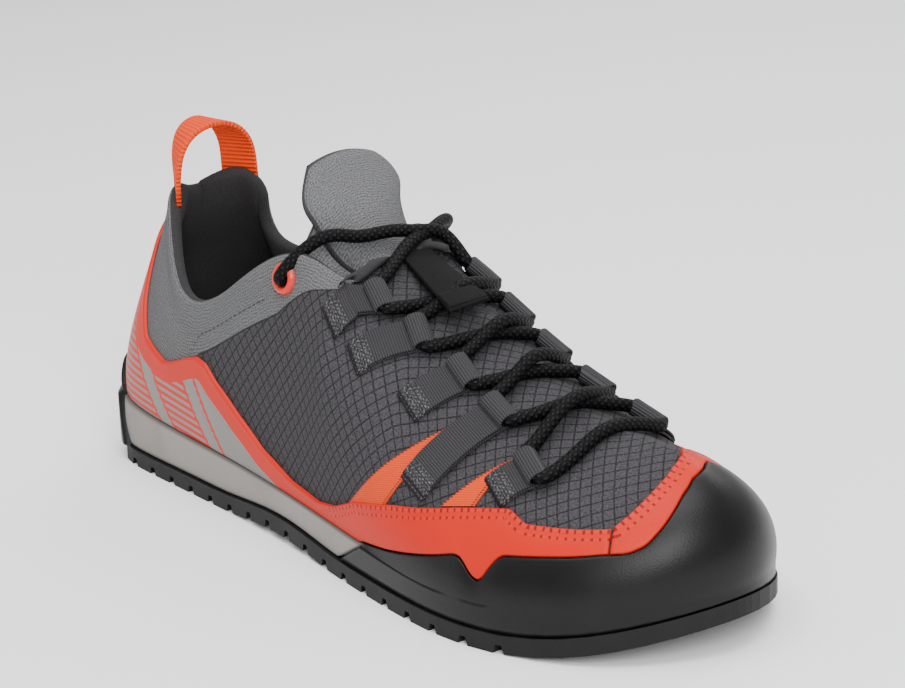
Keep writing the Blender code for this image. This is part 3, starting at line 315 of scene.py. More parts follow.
# Spokes about the throat where the rim turns level, and ahead of which the ridge needs no rim
THROAT_MARGIN = 0.03
HIDDEN_MARGIN = 0.08
# The lining: its rows as shares of the wall, and soft folds round the heel
LINING_SHARES = (0.96, 0.90, 0.83, 0.76, 0.69, 0.62, 0.54, 0.46, 0.38, 0.30, 0.20, 0.10, 0.0)
LINING_FOLD = 0.0011
LINING_FOLD_PITCH = 1.15
LINING_FOLD_SPOKES = (0.2, 0.9, 2.6, 3.6)
LINING_FOLD_SHARES = (0.5, 0.7, 0.9, 1)

# A thin piece's edge: places across it in insets, and its share of the full thickness there
EDGE_PARTS = (0.0, 0.12, 0.5, 1.0, 2.2)
EDGE_LIFTS = (0.0, 0.62, 0.92, 1.0, 1.0)
EDGE_INSET = 0.03
# The red film: its gap above the rand, the band's foot, how softly its corners turn, its gap off the
# cloth, how its ends close, the rounding of its edge and the bead along its top
BORDER_GAP = 0.0045
BAND_FOOT = 0.004
BORDER_SOFTNESS = 0.05
BAND_SOFTNESS = 0.03
FILM_GAP = FACET_CLEARANCE * 0.4
END_CLOSING = ((0, 0.0), (-1, 0.0), (1, 0.7), (-2, 0.7))
FILM_ROUNDING = 0.00055
FILM_BEAD = 0.00025
FILM_BEAD_PLACES = (0.0003, 0.0007, 0.0014)
FINE_STEPS = 1400
# The wedges: the parts of their length between which they show, and how they lie on the cloth
WEDGE_REACH = (-0.06, 0.985)
WEDGE_STEPS = 40
WEDGE_THICKNESS = 0.0006
WEDGE_GAP = CLEARANCE * 0.5

# Grid of the tongue, and how far its free end is puffed up
TONGUE_WIDE = 41
TONGUE_LONG = 70
TONGUE_PUFF = 0.0012
# The gussets: the part of the tongue that they join, spokes of the collar's edge, and their set in from it
GUSSET_SPAN = (0.48, 0.80)
GUSSET_SPOKES = (5.60, 4.15)
GUSSET_INSET = 0.0025
GUSSET_DROP = 0.0015
GUSSET_SAG = (0.0010, 0.0065)
GUSSET_ROWS = 14
# A gusset's size on the knit's map, millimetres
GUSSET_WIDTH = 14
GUSSET_LENGTH = 26

# The pull loop's steps, and how far its ends are tucked into the collar
PULL_LOOP_STEPS = 90
LOOP_TUCK = 0.0075
# Lace loops: the fold's radii, the gap under each strap's end and how flat the fold lies
LOOP_HOLE = LACE_DIAMETER / 2 + 0.0005
LOOP_RADIUS = LOOP_HOLE + WEBBING_THICKNESS
TAPE_GAPS = (0.0008, 0.0002, 0.0002, 0.0006, 0.0006)
TAPE_THICKNESS = 0.0009
FOLD_SQUASH = 0.76
STRAP_STEPS = 26
# Where a point starts above the cloth and how far it may drop onto it
DROP_START = 0.012
DROP_REACH = 0.03
ABOVE_INSTEP = INSTEP_HEIGHT * 1.3
# Eyelet ring in section, from its hole outward: radius and height, metres
EYELET_SIDES = 48
EYELET_PROFILE = ((0.00002, 0.00035),) + tuple((EYELET_HOLE / 2 + out, height) for out, height in (
    (-0.00006, 0.00035), (0.0, 0.0006), (0.0003, 0.0013), (0.0009, 0.00185), (0.0016, 0.0018),
    (0.0022, 0.0012), (0.0026, 0.0001)))
# Corners of the keeper tab, rear row and front row: spoke, share and height off the shell
KEEPER_CORNERS = (
    ((6.02, 0.96, 0.0012), (16.22, 0.97, 0.0012)),
    ((6.80, 0.87, 0.0084), (15.14, 0.98, 0.0084)),
)
KEEPER_FOLD = 0.78
KEEPER_FOLD_THICKNESS = 0.0007
KEEPER_CLEAR = 0.0016
KEEPER_ARCH = 0.0010

# The lace behind the loops: shares of LENGTH, BALL_WIDTH and INSTEP_HEIGHT
LACE_FROM_LATERAL_EYELET = (
    (0.4180, -0.195, 1.116),
    (0.4340, -0.085, 1.110),
    (0.4460, 0.020, 1.112),
    (0.4570, 0.110, 1.098),
    (0.4660, 0.185, 1.072),
)
LACE_TO_MEDIAL_EYELET = (
    (0.4680, 0.040, 1.072),
    (0.4560, 0.145, 1.096),
    (0.4400, 0.232, 1.118),
    (0.4230, 0.290, 1.105),
)
# How far the medial strand sags, between two places across
LACE_SAG = ((0.010, 0.036), (0.0, 0.0042))
# The lace's middle over the cloth, and where it lies over another strand
LACE_REST = LACE_DIAMETER / 2 + 0.0002
LACE_OVER = LACE_REST + LACE_DIAMETER * 0.92
CROSSING_PARTS = (0.22, 0.5, 0.78)
LACE_END_LIFTS = (-0.0016, LACE_DIAMETER * 0.45)
# The lace at a loop: its straight part in widths, and how it bends in at the mouths
LOOP_STRAIGHT = 0.40
MOUTH_REACH = 0.0004
MOUTH_BEND = 0.0026
MOUTH_DROP = 0.0002
LACE_SAMPLES = 9000
LACE_RING_SIDES = 14
LACE_RING_GAP = 0.00055

# Studio: the photograph's camera
AZIMUTH = math.radians(50.641)
ELEVATION = math.radians(18.267)
ROLL = math.radians(-2.012)
CAMERA_DISTANCE = 0.8733
CAMERA_TARGET = np.array((0.147267, 0.011997, 0.062738))
FOCAL_LENGTH = 105.22
SENSOR = 36.0
# Softboxes: place and size in metres, power in watts
LIGHTS = {
    "overhead": ((0.10, -0.15, 1.25), (1.2, 0.8), 17.0),
    "front": ((0.95, -0.55, 0.75), (0.6, 0.8), 15.0),
    "side": ((-0.75, -0.95, 0.70), (0.8, 0.8), 2.0),
    "rear": ((-0.35, 0.95, 0.85), (0.9, 0.6), 6.0),
}
LIGHT_TARGET = Vector((0, 0, 0.05))
ROOM_LIGHT = 0.74
FLOOR_REACH = 6.0
FLOOR_SHADE = 0.93

# Cloth, rubber and foam colours, dark or plain first and light or rubbed second
DARK_WEBBING = ((0.0085, 0.0080, 0.0090), (0.060, 0.057, 0.062))
ORANGE_WEBBING = ((0.55, 0.026, 0.0015), (0.88, 0.072, 0.003))
BLACK_TAB = ((0.0008, 0.0008, 0.0009), (0.0045, 0.0045, 0.0050))
RIPSTOP = ((0.0085, 0.0080, 0.0090), (0.074, 0.070, 0.077))
RIPSTOP_THREAD = (0.0060, 0.0055, 0.0064)
COLLAR_KNIT = ((0.036, 0.036, 0.038), (0.165, 0.165, 0.170))
TONGUE_KNIT = ((0.042, 0.042, 0.045), (0.180, 0.180, 0.187))
LINING = ((0.0120, 0.0112, 0.0120), (0.046, 0.044, 0.046))
RED_FILM = ((0.50, 0.0100, 0.0020), (0.54, 0.017, 0.004))
BLACK_RUBBER = ((0.0011, 0.0011, 0.0013), (0.0038, 0.0038, 0.0042))
TREAD_RUBBER = ((0.0014, 0.0014, 0.0015), (0.0055, 0.0054, 0.0052))
ENAMEL = ((0.56, 0.016, 0.002), (0.60, 0.030, 0.006))
FOAM = ((0.225, 0.210, 0.192), (0.180, 0.167, 0.150))
ORANGE_TAPE = ((0.50, 0.026, 0.0015), (0.74, 0.066, 0.004))
# The braid's second colour is a painted glint for its strand tops.
BRAID = ((0.0004, 0.0004, 0.0004), (0.017, 0.017, 0.018))
SIDES = (("lateral", False), ("medial", True))


def on_side(u, medial):
    """A lateral spoke's place on the side that is asked for."""
    return TURN - u if medial else u


def nearest_spoke(u):
    """Spokes from the heel's back on whichever side u lies."""
    return np.minimum(u % TURN, TURN - u % TURN)


def unit(vectors):
    """Vectors of length one."""
    return vectors / np.linalg.norm(vectors, axis=-1, keepdims=True)


def run_along(line):
    """Distance from a line's first point to each of its points."""
    return np.concatenate(((0.0,), np.cumsum(np.linalg.norm(np.diff(line, axis=0), axis=1))))


def closed_spline(values):
    """A smooth closed curve through rows at whole parameters."""
    values = np.asarray(values, float)
    n = len(values)
    matrix = 4 * np.eye(n) + np.roll(np.eye(n), 1, 1) + np.roll(np.eye(n), -1, 1)
    slopes = np.linalg.solve(matrix, 3 * (np.roll(values, -1, 0) - np.roll(values, 1, 0)))

    def at(u):
        u = np.asarray(u, float) % n
        i = np.floor(u).astype(int) % n
        j = (i + 1) % n
        t = (u - np.floor(u))[:, None]
        return ((2 * t**3 - 3 * t**2 + 1) * values[i] + (t**3 - 2 * t**2 + t) * slopes[i]
                + (3 * t**2 - 2 * t**3) * values[j] + (t**3 - t**2) * slopes[j])
    return at


def open_spline(knots, values):
    """A natural cubic through rows at increasing knots."""
    knots = np.asarray(knots, float)
    values = np.asarray(values, float)
    n = len(knots)
    gap = np.diff(knots)
    matrix = np.eye(n)
    right = np.zeros(values.shape)
    for i in range(1, n - 1):
        matrix[i, i - 1:i + 2] = (gap[i - 1], 2 * (gap[i - 1] + gap[i]), gap[i])
        right[i] = 6 * ((values[i + 1] - values[i]) / gap[i] - (values[i] - values[i - 1]) / gap[i - 1])
    bend = np.linalg.solve(matrix, right)

    def at(u):
        u = np.clip(np.asarray(u, float), knots[0], knots[-1])
        i = np.clip(np.searchsorted(knots, u, side="right") - 1, 0, n - 2)
        t = (u - knots[i])[:, None]
        h = gap[i][:, None]
        slope = (values[i + 1] - values[i]) / h - h * (2 * bend[i] + bend[i + 1]) / 6
        return values[i] + slope * t + bend[i] / 2 * t**2 + (bend[i + 1] - bend[i]) / (6 * h) * t**3
    return at


def both_sides(lateral, medial):
    """Lateral rows from heel to toe and then medial rows back."""
    return np.vstack((lateral, medial[SPOKES - 1:0:-1]))


def wall_rows():
    """The foot of every spoke in metres, with its lean and rise."""
    scale = (LENGTH, BALL_WIDTH, BALL_WIDTH, INSTEP_HEIGHT, BALL_WIDTH, INSTEP_HEIGHT)
    rows = np.array(list(WALL.values())) * scale
    return both_sides(rows[:, (0, 1, 3, 4, 5)], rows[:, (0, 2, 3, 4, 5)])


def shoulder_rows():
    """The shoulder point of every spoke in metres."""
    scale = (LENGTH, BALL_WIDTH, INSTEP_HEIGHT)
    return both_sides(np.array(SHOULDER_LATERAL)[:, 1:] * scale, np.array(SHOULDER_MEDIAL)[:, 1:] * scale)


def line_of(table):
    """A ridge or edge table as a curve in metres over its spokes."""
    rows = np.array(table)[::-1]
    return open_spline(rows[:, 0], rows[:, 1:] * (LENGTH, BALL_WIDTH, INSTEP_HEIGHT))


wall_at = closed_spline(wall_rows())
shoulder_at = closed_spline(shoulder_rows())
ridge_at = line_of(RIDGE)
edge_lateral_at = line_of(EDGE_LATERAL)
edge_medial_at = line_of(EDGE_MEDIAL)


def border(table, u):
    """Share of the wall's height on a border table."""
    rows = np.array(table)
    return np.interp(u, rows[:, 0], rows[:, 1])


def top_point(u):
    """Top of spoke u: the ridge ahead of the throat, the opening's edge behind it."""
    u = np.asarray(u, float) % TURN
    spoke = np.minimum(u, TURN - u)
    edge = np.where((u > SPOKES)[:, None], edge_medial_at(spoke), edge_lateral_at(spoke))
    return np.where((spoke >= THROAT)[:, None], ridge_at(spoke), edge)


def outward(u):
    """Level direction out of the last at spoke u."""
    along = unit(wall_at(u + STEP)[:, :2] - wall_at(u - STEP)[:, :2])
    return np.column_stack((along[:, 1], -along[:, 0], np.zeros(len(along))))


def surface(u, share):
    """Outer face of the upper, share 0 at the sole and 1 at the top."""
    u, share = np.broadcast_arrays(np.atleast_1d(u).astype(float), np.atleast_1d(share).astype(float))
    t = share[:, None]
    row = wall_at(u)
    foot = row[:, :3]
    out = outward(u)
    up = np.array((0.0, 0.0, 1.0))
    top = top_point(u)
    low_handle = foot + out * row[:, 3:4] + up * row[:, 4:5]
    return ((1 - t)**3 * foot + 3 * (1 - t)**2 * t * low_handle
            + 3 * (1 - t) * t**2 * shoulder_at(u) + t**3 * top)


def normal(u, share):
    """Unit normal out of the upper; along the ridge both sides share one."""
    u, share = np.broadcast_arrays(np.atleast_1d(u).astype(float), np.atleast_1d(share).astype(float))

    def one_side(u, share):
        back = np.clip(share - STEP, 0, HIGHEST_SLOPE)
        along = surface(u + STEP, back) - surface(u - STEP, back)
        rise = surface(u, back + 2 * STEP) - surface(u, back)
        return unit(np.cross(along, rise))
    near_ridge = np.interp(share, (RIDGE_BLEND, 1), (0, 1))
    weight = near_ridge * np.interp(nearest_spoke(u), (THROAT - THROAT_BLEND, THROAT), (0, 0.5))
    return unit(one_side(u, share) * (1 - weight[:, None]) + one_side(TURN - u, share) * weight[:, None])


def lifted(u, share, lift):
    """A point off the upper's outer face."""
    return surface(u, share) + normal(u, share) * np.atleast_1d(lift)[:, None]


def lifted_grid(u, share, lift):
    """Points off the upper's outer face for a whole grid of places."""
    u, share, lift = np.broadcast_arrays(u, share, lift)
    return lifted(u.ravel(), share.ravel(), lift.ravel()).reshape(u.shape + (3,))


def ground(x):
    """Height of the outsole's tread: flat at heel and ball, lifted at the heel's back, arch and toe."""
    bevel_end, arch_start, arch_end, toe_start, toe_end = (share * LENGTH for share in GROUND)
    x = np.asarray(x, float)
    bevel = HEEL_BEVEL * (np.clip(bevel_end - x, 0, None) / bevel_end)**2
    arch = ARCH_LIFT * np.sin(np.pi * np.clip((x - arch_start) / (arch_end - arch_start), 0, 1))**2
    spring = TOE_SPRING * (np.clip(x - toe_start, 0, None) / (toe_end - toe_start))**2
    return bevel + arch + spring


def slanted(spoke, level):
    """Spoke moved forward with height near the rand's rear edge, which leans forward."""
    return spoke + RAND_SLANT * level * np.interp(spoke, (4.4, 5.7, 5.8, 7.6), (0, 1, 1, 0))


def outline(u, out):
    """Points of the upper's foot moved out level by one value for each spoke."""
    points = wall_at(u)[:, :3].copy()
    return points + outward(u) * np.broadcast_to(out, u.shape)[:, None]


def side_ring(u, out, level):
    """A ring round the sole's side, level 0 on the outsole and 1 at the upper's foot."""
    ring = outline(u, out)
    foot = ground(ring[:, 0]) + OUTSOLE_THICKNESS
    ring[:, 2] = foot + (ring[:, 2] - foot) * level
    return ring


def flange(spoke):
    """How far the midsole stands out past the upper; the rand covers it ahead of its rear edge."""
    return np.interp(spoke, (RAND_START - 0.03, RAND_START - 0.015), (FLANGE, 0.0))


def grid_faces(rows, columns, start=0):
    """Four-sided faces over a grid of points."""
    index = np.arange(rows * columns).reshape(rows, columns) + start
    return np.stack((index[:-1, :-1], index[:-1, 1:], index[1:, 1:], index[1:, :-1]), -1).reshape(-1, 4)


def make_piece(name, points, faces, materials, maps=None, values=None, slots=None, outward=None):
    """One mesh riding on the shoe. maps are UV layers in millimetres, values are point attributes."""
    points = np.asarray(points).reshape(-1, 3)
    mesh = bpy.data.meshes.new(name)
    mesh.from_pydata((points + SHIFT).tolist(), [], np.asarray(faces).tolist())
    corner = np.empty(len(mesh.loops), np.int32)
    mesh.loops.foreach_get("vertex_index", corner)
    for key, pairs in (maps or {}).items():
        layer = mesh.uv_layers.new(name=key)
        layer.data.foreach_set("uv", pairs.reshape(-1, 2)[corner].astype(np.float32).ravel())
    for key, value in (values or {}).items():
        attribute = mesh.attributes.new(key, "FLOAT", "POINT")
        attribute.data.foreach_set("value", value.astype(np.float32).ravel())
    for material in materials:
        mesh.materials.append(material)
    if slots is not None:
        mesh.polygons.foreach_set("material_index", np.asarray(slots, np.int32))
    bm = bmesh.new()
    bm.from_mesh(mesh)
    bmesh.ops.remove_doubles(bm, verts=bm.verts, dist=MERGE_DISTANCE)
    bmesh.ops.dissolve_degenerate(bm, dist=MERGE_DISTANCE / 10, edges=bm.edges)
    bmesh.ops.recalc_face_normals(bm, faces=bm.faces)
    if outward is not None:
        place = Vector(outward[0] + SHIFT)
        near = min(bm.faces, key=lambda face: (face.calc_center_median() - place).length)
        if near.normal.dot(Vector(outward[1])) < 0:
            bmesh.ops.reverse_faces(bm, faces=bm.faces)
    elif bm.calc_volume(signed=True) < 0:
        bmesh.ops.reverse_faces(bm, faces=bm.faces)
    bm.to_mesh(mesh)
    bm.free()
    mesh.shade_smooth()
    piece = bpy.data.objects.new(name, mesh)
    bpy.context.scene.collection.objects.link(piece)
    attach(piece, "root")
    return piece


def make_sheet(name, grid, material, outward=None, maps=None, values=None):
    """One mesh over a whole grid of points in one material."""
    return make_piece(name, grid, grid_faces(*grid.shape[:2]), [material], maps, values, None, outward)


def from_line(points, line):
    """For every point, how far along a line its nearest place is and how far away, in millimetres."""
    run = run_along(line)
    points = points.reshape(-1, 3)
    pairs = np.empty((len(points), 2))
    for start in range(0, len(points), CHUNK):
        some = points[start:start + CHUNK]
        far = np.linalg.norm(some[:, None, :] - line[None, :, :], axis=2)
        nearest = far.argmin(axis=1)
        pairs[start:start + CHUNK] = np.column_stack((run[nearest], far[np.arange(len(some)), nearest])) * MM
    return pairs


def soft_border(table, u, width=BORDER_SOFTNESS):
    """A border table with its corners rounded."""
    return sum(border(table, u + width * step) for step in (-1, -0.5, 0, 0.5, 1)) / 5


def crease_lift(points):
    """How far the creases move each point off the last."""
    lift = np.zeros(len(points))
    steps = np.linspace(0, 1, CREASE_STEPS)
    for first_at, first_share, second_at, second_share, width, depth in CREASES:
        line = surface(first_at + (second_at - first_at) * steps,
                       first_share + (second_share - first_share) * steps)
        run, away = (from_line(points, line) / MM).T
        reach = np.linalg.norm(line[-1] - line[0])
        fade = np.clip(np.minimum(run, reach - run) / CREASE_FADE, 0, 1)
        lift -= depth * fade * np.exp(-(away / width)**2)
    return lift


def wall_thickness(u, share):
    """The shell's wall, padded along the collar."""
    padded = np.interp(share, PAD_SHARES, (0, 1)) * np.interp(nearest_spoke(u), PAD_SPOKES, (1, 0))
    return UPPER_WALL + (COLLAR_PAD - UPPER_WALL) * padded


def shell_outside():
    """The outer face of the shell: its grid of points, cloth map and distance to the knit's border."""
    u = np.linspace(0, TURN, SHELL_COLUMNS)
    spoke = nearest_spoke(u)
    rim = wall_thickness(u, np.ones(len(u))) / 2
    handle = np.linalg.norm(surface(u, 1.0) - surface(u, 1 - RIM_STEP), axis=1) / RIM_STEP
    drawn_in = np.interp(spoke, RIM_SPOKES, (1, 0))
    top = 1 - drawn_in * RIM_DRAW * rim / handle
    share = np.linspace(0, 1, SHELL_SHARES)[:, None]**ROW_CROWDING * top[None, :]
    columns = np.broadcast_to(u, share.shape)
    points = surface(columns.ravel(), share.ravel())
    off = normal(columns.ravel(), share.ravel())
    points = (points + off * crease_lift(points)[:, None]).reshape(share.shape + (3,))
    girth = np.linalg.norm(np.diff(points[..., 1:], axis=0), axis=2)
    climb = np.vstack((np.zeros((1, len(u))), np.cumsum(girth, axis=0)))
    whole = climb[-1]
    half = len(u) // 2 + 1
    start = np.where(spoke < CLOTH_HOLD, np.interp(CLOTH_HOLD, spoke[:half], whole[:half]), whole)
    side = np.where(u > SPOKES, -1, 1)
    cloth = np.stack((points[..., 0], (start - climb) * side), axis=-1) * MM
    length = np.linalg.norm(np.diff(points, axis=0), axis=2).sum(axis=0)
    knit = (share - border(KNIT_BORDER, spoke)[None, :]) * length[None, :] * MM
    return u, share, points, off.reshape(points.shape), cloth, knit


def build_upper(cloth_material, lining_material):
    """The upper: its outer cloth, the padded rim of the collar and the lining."""
    u, share, points, off, cloth, knit = shell_outside()
    columns = len(u)
    spoke = nearest_spoke(u)
    edge = points[-1]
    along = surface(u + RIM_REACH, 1.0) - surface(u - RIM_REACH, 1.0)
    along[spoke > THROAT - THROAT_MARGIN] = (0.0, 1.0, 0.0)
    along[0] = along[-1] = (0.0, -1.0, 0.0)
    out_of_sheet = np.cross(off[-1], along)
    out_of_sheet *= np.sign(np.einsum("ij,ij->i", out_of_sheet, edge - points[-6]))[:, None]
    out_of_sheet[spoke > THROAT - THROAT_MARGIN] = (-1.0, 0.0, 0.0)
    out_of_sheet = unit(out_of_sheet)
    rows = list(points)
    radius = (wall_thickness(u, np.ones(columns)) / 2)[:, None]
    ridge = (spoke > THROAT + STEP)[:, None]
    for turn in RIM_TURNS[1:]:
        angle = math.radians(turn)
        straight = edge - off[-1] * radius * (1 - math.cos(angle))
        rolled = straight + out_of_sheet * radius * math.sin(angle) * RIM_BULGE
        rows.append(np.where(ridge, straight, rolled))
    folds = LINING_FOLD * np.cos(2 * math.pi * spoke / LINING_FOLD_PITCH) * np.interp(
        spoke, LINING_FOLD_SPOKES, (0, 1, 1, 0))
    for part in LINING_SHARES:
        shares = share[-1] * part
        depth = wall_thickness(u, shares) + folds * np.interp(part, LINING_FOLD_SHARES, (0, 1, 1, 0))
        rows.append(lifted(u, shares, -depth) if part else outline(u, -UPPER_WALL))
    grid = np.array(rows)
    count = len(grid)
    row_of = np.repeat(np.arange(count - 1), columns - 1)
    column_of = np.tile(np.arange(columns - 1), count - 1)
    lined = row_of >= SHELL_SHARES + 1
    hidden = (row_of >= SHELL_SHARES - 1) & (row_of < SHELL_SHARES + len(RIM_TURNS) - 2)
    hidden &= spoke[column_of] > THROAT + HIDDEN_MARGIN
    below = count - SHELL_SHARES
    cloth_all = np.concatenate((cloth, np.broadcast_to(cloth[-1], (below, columns, 2))))
    knit_all = np.concatenate((knit, np.broadcast_to(knit[-1], (below, columns))))
    away = np.linalg.norm(np.diff(grid, axis=0), axis=2)
    away = np.vstack((np.zeros((1, columns)), np.cumsum(away, axis=0)))
    away = (away[SHELL_SHARES - 1][None, :] - away) * MM
    collar = np.stack((np.broadcast_to(run_along(edge) * MM, away.shape), away), axis=-1)
    faces = grid_faces(count, columns)[~hidden]
    piece = make_piece("upper_shell", grid, faces, [cloth_material, lining_material],
                       {"cloth": cloth_all, "collar": collar}, {"knit": knit_all},
                       lined[~hidden].astype(int), (points[30, 60], off[30, 60]))
    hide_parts("upper")
    outside = grid_faces(SHELL_SHARES, columns)
    return BVHTree.FromPolygons(points.reshape(-1, 3).tolist(), outside.tolist())


def banked(low, high, count, inset):
    """Values from low to high, crowded at both ends, and each one's share of the full thickness."""
    edge = np.array(EDGE_PARTS) * inset
    middle = np.linspace(edge[-1], 1 - edge[-1], count)[1:-1]
    parts = np.concatenate((edge, middle, 1 - edge[::-1]))
    rise = np.concatenate((EDGE_LIFTS, np.ones(len(middle)), EDGE_LIFTS[::-1]))
    return low + (high - low) * parts, rise


def build_overlay(name, node, u, low_table, high_table, rows, material):
    """A film on the shell between two borders, its four edges rounded down onto the cloth."""
    low, high = low_table(u), high_table(u)
    length = np.linalg.norm(surface(u, high) - surface(u, low), axis=1)
    parts, rise = banked(0.0, 1.0, rows, FILM_ROUNDING / np.median(length))
    share = low[None, :] + (high - low)[None, :] * parts[:, None]
    lift = FILM_GAP + OVERLAY_THICKNESS * np.broadcast_to(rise[:, None], share.shape).copy()
    lift += np.interp((1 - parts)[:, None] * length[None, :], FILM_BEAD_PLACES, (0, 1, 0)) * FILM_BEAD
    for column, part in END_CLOSING:
        lift[:, column] = FILM_GAP + (lift[:, column] - FILM_GAP) * part
    points = lifted_grid(u, share, lift)
    fine = np.linspace(u[0], u[-1], FINE_STEPS)
    maps = {"edge": from_line(points, surface(fine, high_table(fine))), "side": points[..., (0, 2)] * MM}
    middle, third = len(parts) // 2, len(u) // 3
    outward_at = (points[middle, third], normal(u[third], parts[middle])[0])
    piece = make_sheet(name, points, material, outward_at, maps)
    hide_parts(node)


def rand_top(u):
    """Top edge of the toe rand."""
    return soft_border(RAND_TOP, u % TURN)


def overlay_foot(u):
    """Lower border of the band: on the midsole behind the rand and tucked under it ahead."""
    return BAND_FOOT + (rand_top(u) + BORDER_GAP - BAND_FOOT) * np.interp(np.abs(u), (6.10, 6.18), (0, 1))


def overlay_top(u):
    """Upper border of the band."""
    return soft_border(OVERLAY_TOP, np.abs(u), BAND_SOFTNESS)


def strip_top(u):
    """Upper border of the strip over the toe box."""
    return soft_border(STRIP_TOP, u)


def build_red_film(material):
    """The band round the heel and sides, and the strip over the toe box."""
    steps = np.concatenate((np.arange(0, 9.45, 0.03), (9.46, 9.468, 9.47)))
    around = np.concatenate((-steps[:0:-1], steps))
    build_overlay("red_side_band", "side_overlay", around, overlay_foot, overlay_top, 12, material)
    steps = np.concatenate(((9.49, 9.492, 9.50), np.arange(9.53, 11.0, 0.03), (11.0,)))
    across = np.concatenate((steps, TURN - steps[-2::-1]))
    build_overlay("red_toe_strip", "toe_strip", across, lambda at: rand_top(at) + BORDER_GAP, strip_top, 10,
                  material)


def build_wedges(material):
    """Bright wedges of hatched tape between the front straps."""
    parts, rise = banked(0.0, 1.0, 9, EDGE_INSET)
    steps = np.linspace(*WEDGE_REACH, WEDGE_STEPS)[:, None]
    for side, medial in SIDES:
        for name, row in WEDGES.items():
            first, second, tip = np.array(row).reshape(3, 2)
            near = first + (tip - first) * steps
            far = second + (tip - second) * steps
            grid = np.stack([near + (far - near) * part for part in parts], axis=1)
            u = on_side(grid[..., 0], medial)
            points = lifted_grid(u, grid[..., 1], WEDGE_GAP + WEDGE_THICKNESS * rise)
            run = np.linalg.norm(points[:, :1] - points[:1, :1], axis=2) + 0 * points[..., 0]
            across = np.linalg.norm(points - points[:, :1], axis=2)
            edge = np.minimum(across, across[:, -1:] - across)
            piece = make_sheet(f"orange_{name}_{side}", points, material,
                               (points[10, 5], normal(u[10, 5], grid[10, 5, 1])[0]),
                               {"tape": np.stack((run, edge), -1) * MM})
            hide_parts(f"{name}_{side}")


def build_toe_rand(material):
    """Moulded rubber from the outsole over the midsole's side and the toe box."""
    half = np.concatenate((RAND_START + np.array((0.0, 0.006, 0.02, 0.045)),
                           np.arange(RAND_START + 0.09, 11.0, 0.04), (11.0,)))
    spokes = np.concatenate((half, TURN - half[-2::-1]))
    near = np.minimum(spokes, TURN - spokes)
    lateral = spokes <= SPOKES
    closing = np.ones(len(spokes))
    for place, part in enumerate(RAND_CLOSING):
        closing[place] = closing[-1 - place] = part
    grid = []
    for level in (0.0, 0.02, 0.3, 0.6, 0.9, 1.0):
        u = np.where(lateral, slanted(near, level), TURN - slanted(near, level))
        swell = np.interp(level, (0, 0.02, 0.3, 1.0), (0.75, 0.95, 1.0, 1.0))
        grid.append(side_ring(u, CLEARANCE + RAND_THICKNESS * closing * swell, level))
    top = rand_top(u)
    for part in np.concatenate((np.linspace(0.04, 0.96, 22), (0.975, 0.988, 0.997, 1.0))):
        thickness = RAND_THICKNESS + (RAND_LIP - RAND_THICKNESS) * part
        thickness *= np.interp(part, (0.96, 0.975, 0.988, 0.997, 1.0), (1.0, 0.95, 0.8, 0.45, 0.05))
        grid.append(lifted(u, top * part, CLEARANCE + thickness * closing))
    piece = make_sheet("rubber_toe_rand", np.array(grid), material,
                       (grid[10][40], outward(u[40:41])[0]))
    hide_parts("toe_rand")


def build_heel_rand(material):
    """Rubber up the back of the heel, over the midsole and the band."""
    ends = np.array((0.0, 0.008, 0.03))
    reach = HEEL_RAND_TOP[-1][0]
    u = np.concatenate((-reach + ends, np.linspace(-reach + 0.08, reach - 0.08, 60), reach - ends[::-1]))
    closing = np.concatenate((HEEL_RAND_CLOSING, np.ones(60), HEEL_RAND_CLOSING[::-1]))
    inner = FLANGE * 0.9
    outer = FLANGE * 1.1 + CLEARANCE + HEEL_RAND_THICKNESS
    grid = []
    for level in np.linspace(0, 1, 7):
        spread = u * (1 + HEEL_RAND_SPREAD * (1 - level))
        grid.append(side_ring(spread, inner + (outer - inner) * closing, level))
    top = soft_border(HEEL_RAND_TOP, u)
    for part in (0.3, 0.5, 0.7, 0.85, 0.94, 0.975, 0.99, 1.0):
        thinned = np.interp(part, (0.94, 0.975, 0.99, 1.0), (1, 0.85, 0.5, 0))
        thickness = HEEL_RAND_THICKNESS * closing * thinned
        grid.append(lifted(u, top * part, CLEARANCE + OVERLAY_THICKNESS + thickness))
    piece = make_sheet("rubber_heel_rand", np.array(grid), material,
                       (grid[4][33], outward(u[33:34])[0]))
    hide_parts("heel_rand")


def build_midsole(material):
    """Foam wedge with a rounded lip along its top and a little swell in the middle of its side."""
    spokes = np.concatenate((np.arange(0, RAND_START - 0.04, 0.05), (RAND_START - 0.03, RAND_START - 0.015),
                             np.arange(RAND_START + 0.02, 11.0, 0.1), (11.0,)))
    stand = np.concatenate((flange(spokes), flange(spokes)[-2::-1]))
    grid = []
    for level, swell in MIDSOLE_SECTION:
        slant = slanted(spokes, level)
        u = np.concatenate((slant, TURN - slant[-2::-1]))
        ring = outline(u, stand * swell - CLEARANCE)
        low = ground(ring[:, 0]) + OUTSOLE_THICKNESS + CLEARANCE
        ring[:, 2] = low + (wall_at(u)[:, 2] - low) * level
        grid.append(ring)
    grid = np.array(grid)
    level = np.repeat([row[0] for row in MIDSOLE_SECTION], grid.shape[1])
    piece = make_sheet("foam_midsole", grid, material, (grid[5, 60], outward(slant[60:61])[0]),
                       {"side": grid[..., (0, 2)] * MM}, {"level": level})
    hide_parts("midsole")


def ridge_handle(spoke):
    """Length of wall for a whole share, measured next to the ridge."""
    step = 0.02
    return np.linalg.norm(surface(spoke, 1.0) - surface(spoke, 1 - step)) / step


